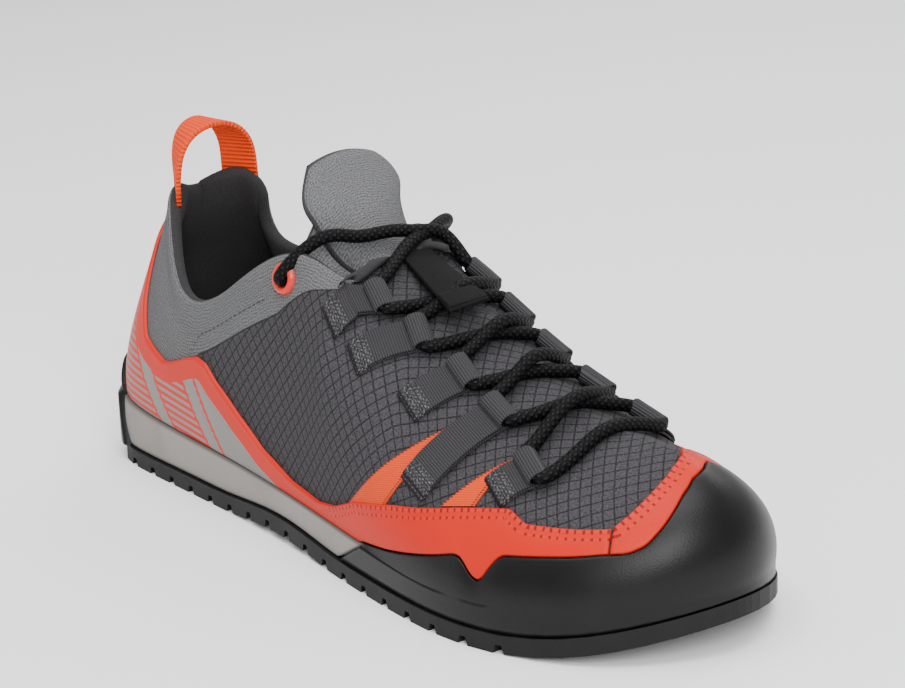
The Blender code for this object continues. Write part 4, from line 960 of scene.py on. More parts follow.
def tongue_top():
    """The tongue's upper face as a grid, from under the vamp to its end."""
    across = np.linspace(-1, 1, TONGUE_WIDE)
    sections = []
    for spoke in TONGUE_HIDDEN:
        share = 1 - np.abs(across) * TONGUE_HIDDEN_HALF / ridge_handle(spoke)
        u = np.where(across <= 0, spoke, TURN - spoke)
        sections.append(lifted(u, share, np.full(TONGUE_WIDE, -(UPPER_WALL + 2 * CLEARANCE))))
    for along, side, height, half, arch in TONGUE:
        section = np.zeros((TONGUE_WIDE, 3))
        section[:, 0] = along * LENGTH
        section[:, 1] = (side + half * across) * BALL_WIDTH
        section[:, 2] = height * INSTEP_HEIGHT - arch * BALL_WIDTH * across**2
        sections.append(section)
    sections = np.array(sections)
    middle = TONGUE_WIDE // 2
    knots = run_along(sections[:, middle])
    along = np.linspace(0, knots[-1], TONGUE_LONG)
    top = open_spline(knots, sections.reshape(len(sections), -1))(along).reshape(TONGUE_LONG, TONGUE_WIDE, 3)
    off = unit(np.cross(np.gradient(top, axis=1), np.gradient(top, axis=0)))
    return top, off * np.sign(off[TONGUE_LONG // 2, middle, 2]), along, across


def build_tongue(knit_material, lining_material):
    """Padded tongue with a rounded edge."""
    top, off, along, across = tongue_top()
    end = np.clip((along[-1] - along) / TONGUE_THICKNESS, 0, 1)
    edge = np.sqrt(1 - np.abs(across)**7)[None, :] * np.sqrt(1 - (1 - end)**2)[:, None]
    out = np.clip((along - along[-1] * 0.5) / (along[-1] * 0.2), 0, 1)
    puff = TONGUE_PUFF * out[:, None] * (1 - across**4)[None, :] * edge
    middle = top - off * TONGUE_THICKNESS / 2
    upper = middle + off * (TONGUE_THICKNESS / 2 * edge + puff)[..., None]
    lower = middle - off * (TONGUE_THICKNESS / 2 * edge)[..., None]
    grid = np.concatenate((upper, lower[:, ::-1], upper[:, :1]), axis=1)
    rows, columns = grid.shape[:2]
    under = np.tile(np.arange(columns - 1) >= TONGUE_WIDE, rows - 1)
    run = np.broadcast_to(along[:, None], (rows, columns))
    half = np.linalg.norm(upper[:, -1] - upper[:, 0], axis=1) / 2
    side = np.concatenate((across, across[::-1], across[:1]))
    from_edge = np.minimum((1 - np.abs(side))[None, :] * half[:, None], (along[-1] - along)[:, None]) * MM
    maps = {"collar": np.stack((side[None, :] * half[:, None], run), -1) * MM}
    piece = make_piece("knit_tongue", grid, grid_faces(rows, columns), [knit_material, lining_material],
                       maps, {"rim": from_edge}, under.astype(int))
    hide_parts("tongue")
    build_gussets(middle, knit_material)


def build_gussets(tongue_middle, material):
    """The knit on both sides that joins the tongue to the collar's front."""
    first, last = int(TONGUE_LONG * GUSSET_SPAN[0]), int(TONGUE_LONG * GUSSET_SPAN[1])
    for name, column, table_at in (("lateral", 1, edge_lateral_at), ("medial", -2, edge_medial_at)):
        inner = tongue_middle[first:last, column]
        steps = np.linspace(0, 1, len(inner))
        rim = table_at(GUSSET_SPOKES[0] + (GUSSET_SPOKES[1] - GUSSET_SPOKES[0]) * steps)
        rim[:, 1] -= np.sign(rim[:, 1]) * GUSSET_INSET
        rim[:, 2] -= GUSSET_DROP
        parts = np.linspace(0, 1, GUSSET_ROWS)[:, None, None]
        sheet = inner[None] * (1 - parts) + rim[None] * parts
        sheet[..., 2] -= np.sin(math.pi * parts[..., 0]) * (GUSSET_SAG[0] + GUSSET_SAG[1] * steps[None, :])
        maps = {"collar": np.stack(np.broadcast_arrays(parts[..., 0] * GUSSET_WIDTH,
                                                       steps[None, :] * GUSSET_LENGTH), -1)}
        edge_run = np.broadcast_to(((1 - steps) * GUSSET_LENGTH)[None, :], sheet.shape[:2])
        piece = make_sheet(f"knit_gusset_{name}", sheet, material,
                           (sheet[6, 6], np.array((0.0, 0.0, 1.0))), maps, {"rim": edge_run})
        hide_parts("tongue")


def build_pull_loop(material):
    """Ribbed webbing loop standing on the collar at the heel."""
    rows = np.array(PULL_LOOP) * (LENGTH, BALL_WIDTH, INSTEP_HEIGHT, 1.0)
    row = open_spline(np.arange(len(rows)), rows)(np.linspace(0, len(rows) - 1, PULL_LOOP_STEPS))
    tucked = row[[0, -1]]
    tucked[:, :3] += unit((row[[0, -1]] - row[[1, -2]])[:, :3]) * LOOP_TUCK
    row = np.vstack((tucked[:1], row, tucked[1:]))
    middle = row[:, :3]
    width = unit(np.column_stack((np.ones(len(row)), row[:, 3], np.zeros(len(row)))))
    off = unit(np.cross(np.gradient(middle, axis=0), width))
    across, rise = banked(-1.0, 1.0, 9, EDGE_INSET)
    grid = middle[:, None] + width[:, None] * across[None, :, None] * LOOP_WEBBING_WIDTH / 2
    half_thickness = LOOP_WEBBING_THICKNESS / 2 * np.clip(rise, 0.25, 1)
    piece = make_band("orange_pull_loop", grid, off, across, half_thickness, run_along(middle) * MM,
                      LOOP_WEBBING_WIDTH, material)
    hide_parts("pull_loop")


def make_band(name, middle, off, across, half_thickness, run, width, material):
    """A closed band of webbing round a grid of points set across its middle line."""
    lift = off[:, None] * half_thickness[None, :, None]
    upper, lower = middle + lift, middle - lift
    grid = np.concatenate((upper, lower[:, ::-1], upper[:, :1]), axis=1)
    rows, columns = grid.shape[:2]
    side = np.concatenate((across, across[::-1], across[:1])) * width / 2 * MM
    strap = np.stack(np.broadcast_arrays(run[:, None], side[None, :]), -1)
    faces = grid_faces(rows, columns).tolist()
    around = np.arange(columns - 1)
    for cap in (around[::-1], around + (rows - 1) * columns):
        half = len(cap) // 2
        back = cap[::-1]
        faces += np.stack((cap[:half - 1], cap[1:half], back[1:half], back[:half - 1]), -1).tolist()
    return make_piece(name, grid, faces, [material], {"strap": strap})


def loop_frame(index, medial, count=5):
    """Middle line of a loop's strap and its directions: across it, off the upper and out at its end."""
    end_at, end_share, tail_at, tail_share = (LOOPS_MEDIAL if medial else LOOPS_LATERAL)[index]
    steps = np.linspace(0, 1, count)
    u = on_side(tail_at + (end_at - tail_at) * steps, medial)
    share = tail_share + (end_share - tail_share) * steps
    points = surface(u, share)
    up = normal(u, share)
    across = unit(np.cross(up, points[-1] - points[0]))
    forward = np.cross(across[-1], up[-1])
    return points, across, up, forward * np.sign(np.dot(forward, points[-1] - points[-2]))


def on_shell(shell, points, up, lift):
    """Points dropped onto the shell along up and raised by lift."""
    placed = np.empty(points.shape)
    for place in np.ndindex(points.shape[:2]):
        direction = Vector(up[place[0]])
        start = Vector(points[place]) + direction * DROP_START
        hit = shell.ray_cast(start, -direction, DROP_REACH)[0]
        base = np.array(hit) if hit else points[place]
        placed[place] = base + np.array(direction) * lift[place[0]]
    return placed


def build_lace_loops(shell, material):
    """Ten folded webbing loops, lying on the cloth and turned round the lace at their ends."""
    across, rise = banked(-1.0, 1.0, 7, EDGE_INSET)
    half_thickness = TAPE_THICKNESS / 2 * np.clip(rise, 0.3, 1)
    radius = LOOP_RADIUS - TAPE_THICKNESS / 2
    turns = np.radians(np.arange(15, 286, 15))[:, None]
    back = np.linspace(0.90, 0.05, 22)
    for side, medial in SIDES:
        for index, base in enumerate(TAPE_GAPS):
            points, width, up, forward = loop_frame(index, medial, STRAP_STEPS)
            spread = points[:, None] + width[:, None] * across[None, :, None] * WEBBING_WIDTH / 2
            settle = np.interp(np.linspace(0, 1, STRAP_STEPS), (0, 0.25, 1), (0.0002, base * 0.8, base))
            low = on_shell(shell, spread, up, settle + TAPE_THICKNESS / 2)
            centre = low[-1] + up[-1] * radius * FOLD_SQUASH
            lean = forward * np.sin(turns) * radius - up[-1] * np.cos(turns) * radius * FOLD_SQUASH
            ring = centre[None] + lean[:, None]
            ring_off = forward * np.sin(turns) - up[-1] * np.cos(turns)
            reach = np.linalg.norm(points[-1] - points[0])
            places = (1 - LOOP_RADIUS * (1 - back) * 1.2 / reach) * back * (STRAP_STEPS - 1)
            first = np.floor(places).astype(int)
            second = np.minimum(first + 1, STRAP_STEPS - 1)
            mix = (places - first)[:, None]
            line = spread[first] * (1 - mix[..., None]) + spread[second] * mix[..., None]
            line_up = up[first] * (1 - mix) + up[second] * mix
            settled = np.interp(back, (0.05, 0.3, 0.90), (TAPE_THICKNESS * 1.4, base + TAPE_THICKNESS * 1.6,
                                                         base + TAPE_THICKNESS * 2.0))
            grid = np.concatenate((low, ring, on_shell(shell, line, line_up, settled)))
            run = run_along(grid[:, len(across) // 2]) * MM
            off = np.concatenate((-up, ring_off, line_up))
            piece = make_band(f"lace_loop_tape_{side}_{index + 1}", grid, off, across, half_thickness,
                              np.minimum(run, run[-1] - run), WEBBING_WIDTH, material)
            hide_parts(f"lace_loop_{side}_{index + 1}")


def build_eyelets(ring_material, hole_shade_material):
    """Rings round the holes that the lace's ends go into, with a disc of painted shade filling the hole."""
    turn = np.linspace(0, 2 * math.pi, EYELET_SIDES + 1)
    for side, medial in SIDES:
        u, share = on_side(EYELET_PLACE[0], medial), EYELET_PLACE[1]
        place = surface(u, share)[0]
        up = normal(u, share)[0]
        level = unit(np.cross(up, (0.0, 0.0, 1.0)))
        ring = np.cos(turn)[:, None] * level + np.sin(turn)[:, None] * np.cross(up, level)
        grid = np.array([place + ring * radius + up * height for radius, height in EYELET_PROFILE])
        # The innermost ring is a dark disc of painted shade across the hole.
        slots = (np.repeat(np.arange(len(EYELET_PROFILE) - 1), EYELET_SIDES) < 1).astype(int)
        piece = make_piece(f"orange_eyelet_{side}", grid, grid_faces(*grid.shape[:2]),
                           [ring_material, hole_shade_material], None, None, slots,
                           (place + up * 0.0003, up))
        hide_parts(f"eyelet_{side}")


def drop(shell, place):
    """Where a point straight above the instep lands on the shell, and the shell's direction there."""
    return shell.ray_cast(Vector((place[0], place[1], ABOVE_INSTEP)), Vector((0, 0, -1)))[:2]


def build_keeper(shell, material):
    """Black fabric tab from the throat's edge forward over the laces, its front end folded back."""
    runs, rise_along = banked(0.0, 1.0, 21, EDGE_INSET)
    across, rise_across = banked(0.0, 1.0, 13, EDGE_INSET)
    corners = np.array([[lifted(*corner)[0] for corner in row] for row in KEEPER_CORNERS])
    grid = np.empty((len(runs), len(across), 3))
    for i, run in enumerate(runs):
        left, right = corners[0] + (corners[1] - corners[0]) * run
        thickness = KEEPER_THICKNESS + KEEPER_FOLD_THICKNESS * np.clip((run - KEEPER_FOLD) / 0.02, 0, 1)
        for j, v in enumerate(across):
            place = left + (right - left) * v
            hit = drop(shell, place)[0]
            if hit is not None:
                place[2] = max(place[2], hit[2] + KEEPER_CLEAR)
            place[2] += KEEPER_ARCH * math.sin(math.pi * run) * math.sin(math.pi * v)
            place[2] += thickness * rise_along[i] * rise_across[j]
            grid[i, j] = place
    run = np.linalg.norm(grid - grid[:1], axis=2)
    side = np.linalg.norm(grid - grid[:, :1], axis=2)
    middle = (len(runs) // 2, len(across) // 2)
    piece = make_sheet("black_keeper_tab", grid, material,
                       (grid[middle], np.array((0, 0, 1.0))), {"strap": np.stack((run, side), -1) * MM})
    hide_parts("lace_keeper")


def loop_passage(index, medial):
    """The lace's line through a loop: straight through it and bending inward at both mouths."""
    points, across, up, inward = loop_frame(index, medial)
    centre = points[-1] + up[-1] * (TAPE_GAPS[index] + LOOP_RADIUS * FOLD_SQUASH)
    forward = across[-1] * np.sign(across[-1][0])
    reach = forward * WEBBING_WIDTH * LOOP_STRAIGHT
    bend = inward * MOUTH_BEND - up[-1] * MOUTH_DROP
    turned = forward * (WEBBING_WIDTH / 2 + MOUTH_REACH)
    return [centre - turned + bend, centre - reach, centre + reach, centre + turned + bend]


def crossing(shell, start, end, lift):
    """Points over the instep, straight in plan from one loop's mouth to another's."""
    places = []
    for part in CROSSING_PARTS:
        hit, off = drop(shell, start + (end - start) * part)
        off = np.array(off) * np.sign(off[2])
        height = LACE_REST + (lift - LACE_REST) * math.sin(math.pi * part)**2
        places.append(np.array(hit) + off * height)
    return places


def lace_route(shell):
    """The lace from one top eyelet through the ten loops to the other."""
    eyelets = [[lifted(on_side(EYELET_PLACE[0], medial), EYELET_PLACE[1], lift)[0] for lift in LACE_END_LIFTS]
               for medial in (False, True)]
    size = (LENGTH, BALL_WIDTH, INSTEP_HEIGHT)
    last = len(LOOPS_LATERAL) - 1
    loops = [loop_passage(index, index % 2 == 0) for index in range(last + 1)]
    loops += [loop_passage(index, index % 2 == 1)[::-1] for index in range(last, -1, -1)]
    route = eyelets[0] + list(np.array(LACE_FROM_LATERAL_EYELET) * size)
    for count, passage in enumerate(loops):
        if count:
            over = count <= last and count % 2 == 1
            over = over or (count > last + 1 and (count - last) % 2 == 0)
            route += crossing(shell, loops[count - 1][-1], passage[0], LACE_OVER if over else LACE_REST)
        route += passage
    far = np.array(LACE_TO_MEDIAL_EYELET) * size
    far[:, 2] -= np.interp(far[:, 1], *LACE_SAG)
    return np.array(route + list(far) + eyelets[1][::-1])


def build_lace(shell, material):
    """One round braided cord along the whole route."""
    places = lace_route(shell)
    steps = np.linalg.norm(np.diff(places, axis=0), axis=1)
    knots = np.concatenate(((0.0,), np.cumsum(np.sqrt(steps))))
    dense = open_spline(knots, places)(np.linspace(0, knots[-1], LACE_SAMPLES))
    run = run_along(dense)
    count = int(run[-1] / LACE_RING_GAP)
    wanted = np.linspace(0, run[-1], count)
    line = np.column_stack([np.interp(wanted, run, dense[:, i]) for i in range(3)])
    along = unit(np.gradient(line, axis=0))
    side = np.cross(along[0], (0.0, 0.0, 1.0))
    turn = np.linspace(0, 2 * math.pi, LACE_RING_SIDES + 1)
    grid = np.empty((count, LACE_RING_SIDES + 1, 3))
    for i in range(count):
        side = unit(side - along[i] * np.dot(side, along[i]))
        rise = np.cross(along[i], side)
        ring = np.cos(turn)[:, None] * side + np.sin(turn)[:, None] * rise
        grid[i] = line[i] + ring * LACE_DIAMETER / 2
    cord = np.stack(np.broadcast_arrays(wanted[:, None] * MM, turn[None, :] / (2 * math.pi)), -1)
    piece = make_sheet("black_round_lace", grid, material, None, {"cord": cord})
    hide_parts("lace")


class Tree:
    """Adds nodes to one material or group and links them as it goes."""

    def __init__(self, tree):
        self.tree = tree

    def node(self, kind, **settings):
        node = self.tree.nodes.new(kind)
        count = len(self.tree.nodes)
        node.location = (count % 10 * 200, -(count // 10) * 300)
        for key, value in settings.items():
            setattr(node, key, value)
        return node

    def put(self, socket, value):
        if isinstance(value, bpy.types.NodeSocket):
            self.tree.links.new(value, socket)
        elif isinstance(value, tuple) and len(value) == 3 and socket.type == "RGBA":
            socket.default_value = (*value, 1.0)
        else:
            socket.default_value = value

    def math(self, operation, *values, clamp=False):
        node = self.node("ShaderNodeMath", operation=operation, use_clamp=clamp)
        for socket, value in zip(node.inputs, values):
            self.put(socket, value)
        return node.outputs[0]

    def plus(self, first, second, clamp=False):
        return self.math("ADD", first, second, clamp=clamp)

    def minus(self, first, second):
        return self.math("SUBTRACT", first, second)

    def times(self, first, second):
        return self.math("MULTIPLY", first, second)

    def higher(self, first, second):
        return self.math("MAXIMUM", first, second)

    def fold(self, value, reach):
        """Back and forth between nought and reach."""
        return self.math("PINGPONG", value, reach)

    def apart(self, first, second):
        return self.math("ABSOLUTE", self.minus(first, second))

    def wave(self, value, pitch):
        """A sine that repeats at every pitch."""
        return self.math("SINE", self.times(self.math("DIVIDE", value, pitch), 2 * math.pi))

    def step(self, value, low, high, first=0.0, second=1.0):
        """A soft step from first at low to second at high."""
        node = self.node("ShaderNodeMapRange", interpolation_type="SMOOTHSTEP")
        for key, item in (("Value", value), ("From Min", low), ("From Max", high), ("To Min", first),
                          ("To Max", second)):
            self.put(node.inputs[key], item)
        return node.outputs["Result"]

    def mix(self, share, first, second):
        node = self.node("ShaderNodeMix", data_type="RGBA")
        for index, item in ((0, share), (6, first), (7, second)):
            self.put(node.inputs[index], item)
        return node.outputs[2]

    def noise(self, scale, detail, vector):
        node = self.node("ShaderNodeTexNoise")
        for key, item in (("Scale", scale), ("Detail", detail), ("Vector", vector)):
            self.put(node.inputs[key], item)
        return node.outputs["Fac"]

    def value(self, name):
        return self.node("ShaderNodeAttribute", attribute_name=name).outputs["Fac"]

    def map(self, name):
        return self.node("ShaderNodeUVMap", uv_map=name).outputs["UV"]

    def place(self):
        return self.node("ShaderNodeTexCoord").outputs["Object"]

    def split(self, vector):
        node = self.node("ShaderNodeSeparateXYZ")
        self.put(node.inputs[0], vector)
        return node.outputs[0], node.outputs[1]

    def use(self, group, **values):
        node = self.node("ShaderNodeGroup", node_tree=group)
        for key, value in values.items():
            self.put(node.inputs[key], value)
        return node.outputs

    def bump(self, height, distance, strength):
        node = self.node("ShaderNodeBump")
        for key, item in (("Height", height), ("Distance", distance), ("Strength", strength)):
            self.put(node.inputs[key], item)
        return node.outputs["Normal"]


def new_group(name, inputs, outputs):
    """A shader node group with its sockets, and its own Tree, input and output nodes."""
    group = bpy.data.node_groups.new(name, "ShaderNodeTree")
    kinds = {"F": "NodeSocketFloat", "V": "NodeSocketVector", "C": "NodeSocketColor"}
    for label, kind, default in inputs:
        socket = group.interface.new_socket(label, in_out="INPUT", socket_type=kinds[kind])
        if default is not None:
            socket.default_value = default
    for label, kind in outputs:
        group.interface.new_socket(label, in_out="OUTPUT", socket_type=kinds[kind])
    tree = Tree(group)
    return group, tree, tree.node("NodeGroupInput").outputs, tree.node("NodeGroupOutput").inputs


def make_weave_group():
    """Fine over and under weave, with its shade from thread to thread."""
    group, t, given, out = new_group(
        "fine weave", (("Map", "V", None), ("Pitch", "F", 0.6)), (("Height", "F"),))
    x, y = t.split(given["Map"])
    threads = t.times(t.wave(x, given["Pitch"]), t.wave(y, given["Pitch"]))
    t.put(out["Height"], t.plus(t.times(threads, 0.5), 0.5))
    return group


def make_ripstop_group():
    """Thin reinforcing threads that cross at a slant, and their mask."""
    group, t, given, out = new_group(
        "ripstop threads", (("Map", "V", None), ("Pitch", "F", 3.3), ("Width", "F", 0.35)), (("Mask", "F"),))
    x, y = t.split(given["Map"])
    slanted_y = t.times(y, 0.8)
    masks = []
    for mixed in (t.plus(x, slanted_y), t.minus(x, slanted_y)):
        away = t.fold(t.times(mixed, 0.78), t.times(given["Pitch"], 0.5))
        masks.append(t.step(away, given["Width"], t.times(given["Width"], 0.35)))
    t.put(out["Mask"], t.higher(*masks))
    return group


def make_knit_group():
    """Knit of fine ribs: the height of each rib and a heathered mix of light and dark yarn."""
    group, t, given, out = new_group(
        "ribbed knit", (("Map", "V", None), ("Pitch", "F", 0.9), ("Dark", "C", None), ("Light", "C", None)),
        (("Colour", "C"), ("Height", "F")))
    x, y = t.split(given["Map"])
    wander = t.times(t.noise(0.12, 2.0, given["Map"]), 3.0)
    ribs = t.wave(t.plus(t.math("DIVIDE", y, given["Pitch"]), wander), 1.0)
    height = t.plus(t.times(ribs, 0.35), t.times(t.wave(x, given["Pitch"]), 0.15))
    yarn = t.noise(1.9, 4.0, given["Map"])
    shade = t.plus(t.times(height, 0.35), t.times(t.minus(yarn, 0.5), 2.2))
    t.put(out["Colour"], t.mix(t.plus(shade, 0.5, clamp=True), given["Dark"], given["Light"]))
    t.put(out["Height"], t.plus(height, t.times(yarn, 0.5)))
    return group


def make_stitch_group():
    """A row of stitches beside an edge: the thread, and the dimples at its ends."""
    group, t, given, out = new_group(
        "stitch row", (("Map", "V", None), ("Place", "F", 2.0), ("Pitch", "F", 2.6), ("Width", "F", 0.35)),
        (("Thread", "F"), ("Dimple", "F")))
    along, away = t.split(given["Map"])
    off_row = t.apart(away, given["Place"])
    width = given["Width"]
    half = t.times(given["Pitch"], 0.5)
    in_run = t.fold(along, half)
    on_row = t.step(off_row, width, t.times(width, 0.4))
    in_hole = t.step(off_row, t.times(width, 1.6), t.times(width, 0.5))
    t.put(out["Thread"], t.times(on_row, t.step(in_run, t.times(half, 0.30), t.times(half, 0.45))))
    t.put(out["Dimple"], t.times(in_hole, t.step(in_run, t.times(half, 0.36), t.times(half, 0.16))))
    return group


def make_surface_group():
    """Slight mottling, rubbed roughness and fine grain for rubber, film and foam."""
    group, t, given, out = new_group(
        "worn grain", (("Place", "V", None), ("Colour", "C", None), ("Rubbed", "C", None),
                       ("Amount", "F", 0.3), ("Roughness", "F", 0.45), ("Grain", "F", 2200.0)),
        (("Colour", "C"), ("Roughness", "F"), ("Height", "F")))
    broad = t.noise(38.0, 4.0, given["Place"])
    fine = t.noise(given["Grain"], 2.0, given["Place"])
    rub = t.step(broad, 0.48, 0.72)
    t.put(out["Colour"], t.mix(t.times(rub, given["Amount"]), given["Colour"], given["Rubbed"]))
    t.put(out["Roughness"], t.plus(given["Roughness"], t.times(t.minus(broad, 0.5), 0.22)))
    t.put(out["Height"], t.plus(fine, t.times(broad, 0.6)))
    return group


def new_material(name, roughness=0.8, coat=0.0, coat_roughness=0.3, sheen=0.0, level=0.5):
    """A material with its plain values set, its Tree and its shader's sockets."""
    material = bpy.data.materials.new(name)
    material.use_nodes = True
    shader = material.node_tree.nodes["Principled BSDF"]
    for key, value in (("Roughness", roughness), ("Coat Weight", coat), ("Coat Roughness", coat_roughness),
                       ("Sheen Weight", sheen), ("Specular IOR Level", level)):
        shader.inputs[key].default_value = value
    return material, Tree(material.node_tree), shader.inputs


def dress(t, shader, colour, relief, distance, strength, roughness=None):
    """Link a material's colour, its relief as a bump in metres, and its roughness where it varies."""
    t.put(shader["Base Color"], colour)
    t.put(shader["Normal"], t.bump(relief, distance, strength))
    if roughness is not None:
        t.put(shader["Roughness"], roughness)


def make_upper_cloth(weave, ripstop, knit, stitch):
    """Grey ripstop over the foot and heathered knit round the collar, with the seam between them."""
    material, t, shader = new_material("grey ripstop and knit", 0.88, level=0.16)
    cloth = t.map("cloth")
    threads = t.use(ripstop, Map=cloth, Pitch=3.5, Width=0.34)["Mask"]
    fine = t.use(weave, Map=cloth, Pitch=0.62)["Height"]
    mottle = t.noise(1.3, 4.0, cloth)
    speckle = t.times(t.minus(mottle, 0.5), 1.5)
    base = t.mix(t.plus(t.times(fine, 0.35), t.plus(speckle, 0.34), clamp=True), *RIPSTOP)
    base = t.mix(t.times(threads, t.step(mottle, 0.35, 0.65, 0.90, 0.60)), base, RIPSTOP_THREAD)
    collar = t.use(knit, Map=t.map("collar"), Pitch=1.15, Dark=COLLAR_KNIT[0], Light=COLLAR_KNIT[1])
    border_run = t.value("knit")
    is_knit = t.step(border_run, -0.12, 0.12)
    colour = t.mix(is_knit, base, collar["Colour"])
    seam = t.step(t.math("ABSOLUTE", border_run), 0.55, 0.1)
    colour = t.mix(t.times(seam, 0.75), colour, (0.008, 0.0075, 0.0085))
    x, y = t.split(cloth)
    row_map = t.node("ShaderNodeCombineXYZ")
    t.put(row_map.inputs[0], x)
    t.put(row_map.inputs[1], border_run)
    row = t.use(stitch, Map=row_map.outputs[0], Place=6.5, Pitch=2.4, Width=0.32)
    near = t.times(t.step(x, 62.0, 66.0), t.step(x, 108.0, 104.0))
    thread = t.times(row["Thread"], near)
    colour = t.mix(t.times(thread, 0.8), colour, (0.008, 0.008, 0.009))
    relief = t.plus(t.times(fine, 0.30), t.times(threads, 0.45))
    relief = t.plus(t.times(relief, t.minus(1.0, is_knit)), t.times(t.times(collar["Height"], is_knit), 0.9))
    relief = t.minus(relief, t.times(is_knit, 0.9))
    relief = t.minus(relief, t.times(t.higher(seam, thread), 0.8))
    dress(t, shader, colour, relief, 0.00028, 0.85, t.step(mottle, 0.2, 0.8, 0.70, 0.92))
    return material


def make_plain_knit(knit):
    """Heathered knit of the tongue and gussets, darker along its bound rim."""
    material, t, shader = new_material("heathered grey knit", 0.92, level=0.12)
    body = t.use(knit, Map=t.map("collar"), Pitch=0.95, Dark=TONGUE_KNIT[0], Light=TONGUE_KNIT[1])
    rim = t.value("rim")
    bound = t.times(t.step(rim, 1.3, 0.9), 0.75)
    groove = t.step(t.apart(rim, 1.5), 0.5, 0.1)
    dress(t, shader, t.mix(bound, body["Colour"], (0.022, 0.021, 0.023)), t.minus(body["Height"], groove),
          0.00022, 0.8)
    return material


def make_lining():
    """Soft charcoal lining."""
    material, t, shader = new_material("charcoal lining", 0.95, sheen=0.03, level=0.10)
    place = t.place()
    fuzz, broad = t.noise(1500.0, 3.0, place), t.noise(45.0, 3.0, place)
    dress(t, shader, t.mix(t.plus(t.times(fuzz, 0.6), t.times(broad, 0.4)), *LINING),
          t.plus(fuzz, t.times(broad, 2.0)), 0.0003, 0.6)
    return material


def make_red_film(grain, stitch):
    """Coral red film with two stitched rows beside its edge, painted shade in the stitches' dimples, a
    painted highlight along its top edge and a print of pale bars at the heel.
    """
    material, t, shader = new_material("coral red film", 0.46, coat=0.02, coat_roughness=0.35, level=0.16)
    worn = t.use(grain, Place=t.place(), Colour=RED_FILM[0], Rubbed=RED_FILM[1], Amount=0.5, Roughness=0.44,
                 Grain=2600.0)
    edge = t.map("edge")
    away = t.split(edge)[1]
    x, z = t.split(t.map("side"))
    lean = t.plus(x, t.times(z, 0.62))
    bars = t.step(t.fold(t.plus(z, t.times(x, 0.10)), 1.35), 0.60, 0.82)
    blocks = t.fold(lean, 15.0)
    solid = t.step(blocks, 3.6, 3.2)
    gap = t.step(t.apart(blocks, 4.6), 0.5, 0.8)
    pale = t.higher(t.higher(t.times(bars, gap), solid), t.step(lean, 95.2, 95.8))
    inside = t.times(t.step(away, 7.4, 7.8), t.step(lean, 150.0, 149.0))
    pale = t.times(t.times(pale, inside), t.step(x, 128.0, 126.0))
    colour = t.mix(pale, worn["Colour"], (0.190, 0.184, 0.172))
    relief = worn["Height"]
    front = t.step(x, 148.0, 152.0)
    for place in (1.9, 3.7):
        row = t.use(stitch, Map=edge, Place=place, Pitch=2.5, Width=0.34)
        dimple = t.times(row["Dimple"], front)
        thread = t.times(row["Thread"], front)
        # Painted shade: the stitch dimples are darkened here as well as pressed in as relief.
        colour = t.mix(t.times(dimple, 0.75), colour, (0.10, 0.004, 0.003))
        colour = t.mix(t.times(thread, 0.35), colour, (0.58, 0.030, 0.018))
        relief = t.minus(relief, t.times(dimple, 5.0))
    # Painted highlight: a lighter line along the film's top edge, where its bead catches the light.
    lip = t.step(away, 1.1, 0.7)
    colour = t.mix(t.times(lip, 0.30), colour, (0.62, 0.034, 0.018))
    dress(t, shader, colour, relief, 0.00006, 0.7, worn["Roughness"])
    return material


def make_grained(name, grain, colours, amount, roughness, size, depth, coat=0.0, coat_roughness=0.4,
                 level=0.28):
    """Rubber or enamel with a fine grain and slight rubbing."""
    material, t, shader = new_material(name, roughness, coat, coat_roughness, level=level)
    worn = t.use(grain, Place=t.place(), Colour=colours[0], Rubbed=colours[1], Amount=amount,
                 Roughness=roughness, Grain=size)
    dress(t, shader, worn["Colour"], worn["Height"], depth, 0.6, worn["Roughness"])
    return material


def make_foam(grain):
    """Warm grey foam, darker along its foot, with painted shade under its lip."""
    material, t, shader = new_material("warm grey foam", 0.62, level=0.4)
    worn = t.use(grain, Place=t.place(), Colour=FOAM[0], Rubbed=FOAM[1], Amount=0.45, Roughness=0.62,
                 Grain=1500.0)
    level = t.value("level")
    # Darker along its foot, and painted shade along its top under the lip where the foam meets the upper.
    dark = t.higher(t.times(t.step(level, 0.10, 0.0), 0.5), t.times(t.step(level, 0.90, 1.0), 0.75))
    dress(t, shader, t.mix(dark, worn["Colour"], (0.045, 0.036, 0.032)), worn["Height"], 0.00012, 0.5,
          worn["Roughness"])
    return material


def make_webbing(name, weave, colours, pitch, tack):
    """Ribbed webbing; where tack is set, a block of bar stitches holds its tail."""
    material, t, shader = new_material(name, 0.78, level=0.18)
    strap = t.map("strap")
    run, across = t.split(strap)
    rib = t.wave(run, pitch)
    fine = t.use(weave, Map=strap, Pitch=pitch * 0.8)["Height"]
    yarn = t.noise(2.2, 3.0, strap)
    colour = t.mix(t.plus(t.times(rib, 0.22), t.times(t.plus(fine, yarn), 0.5), clamp=True), *colours)
    relief = t.plus(rib, t.times(fine, 0.4))
    if tack:
        block = t.times(t.step(run, 6.2, 5.9), t.step(run, 0.3, 0.6))
        zigzag = t.fold(t.plus(run, t.times(t.fold(across, 0.9), 0.9)), 0.75)
        threads = t.times(block, t.step(zigzag, 0.30, 0.50))
        speckle = t.noise(1.4, 3.0, strap)
        thread_colour = t.mix(t.step(speckle, 0.42, 0.60), (0.008, 0.008, 0.009), (0.15, 0.145, 0.15))
        colour = t.mix(t.times(threads, 0.85), colour, thread_colour)
        colour = t.mix(t.times(t.step(run, 0.75, 0.35), 0.8), colour, (0.005, 0.005, 0.0055))
        relief = t.plus(relief, t.times(threads, 1.6))
    dress(t, shader, colour, relief, 0.00022, 0.8)
    return material


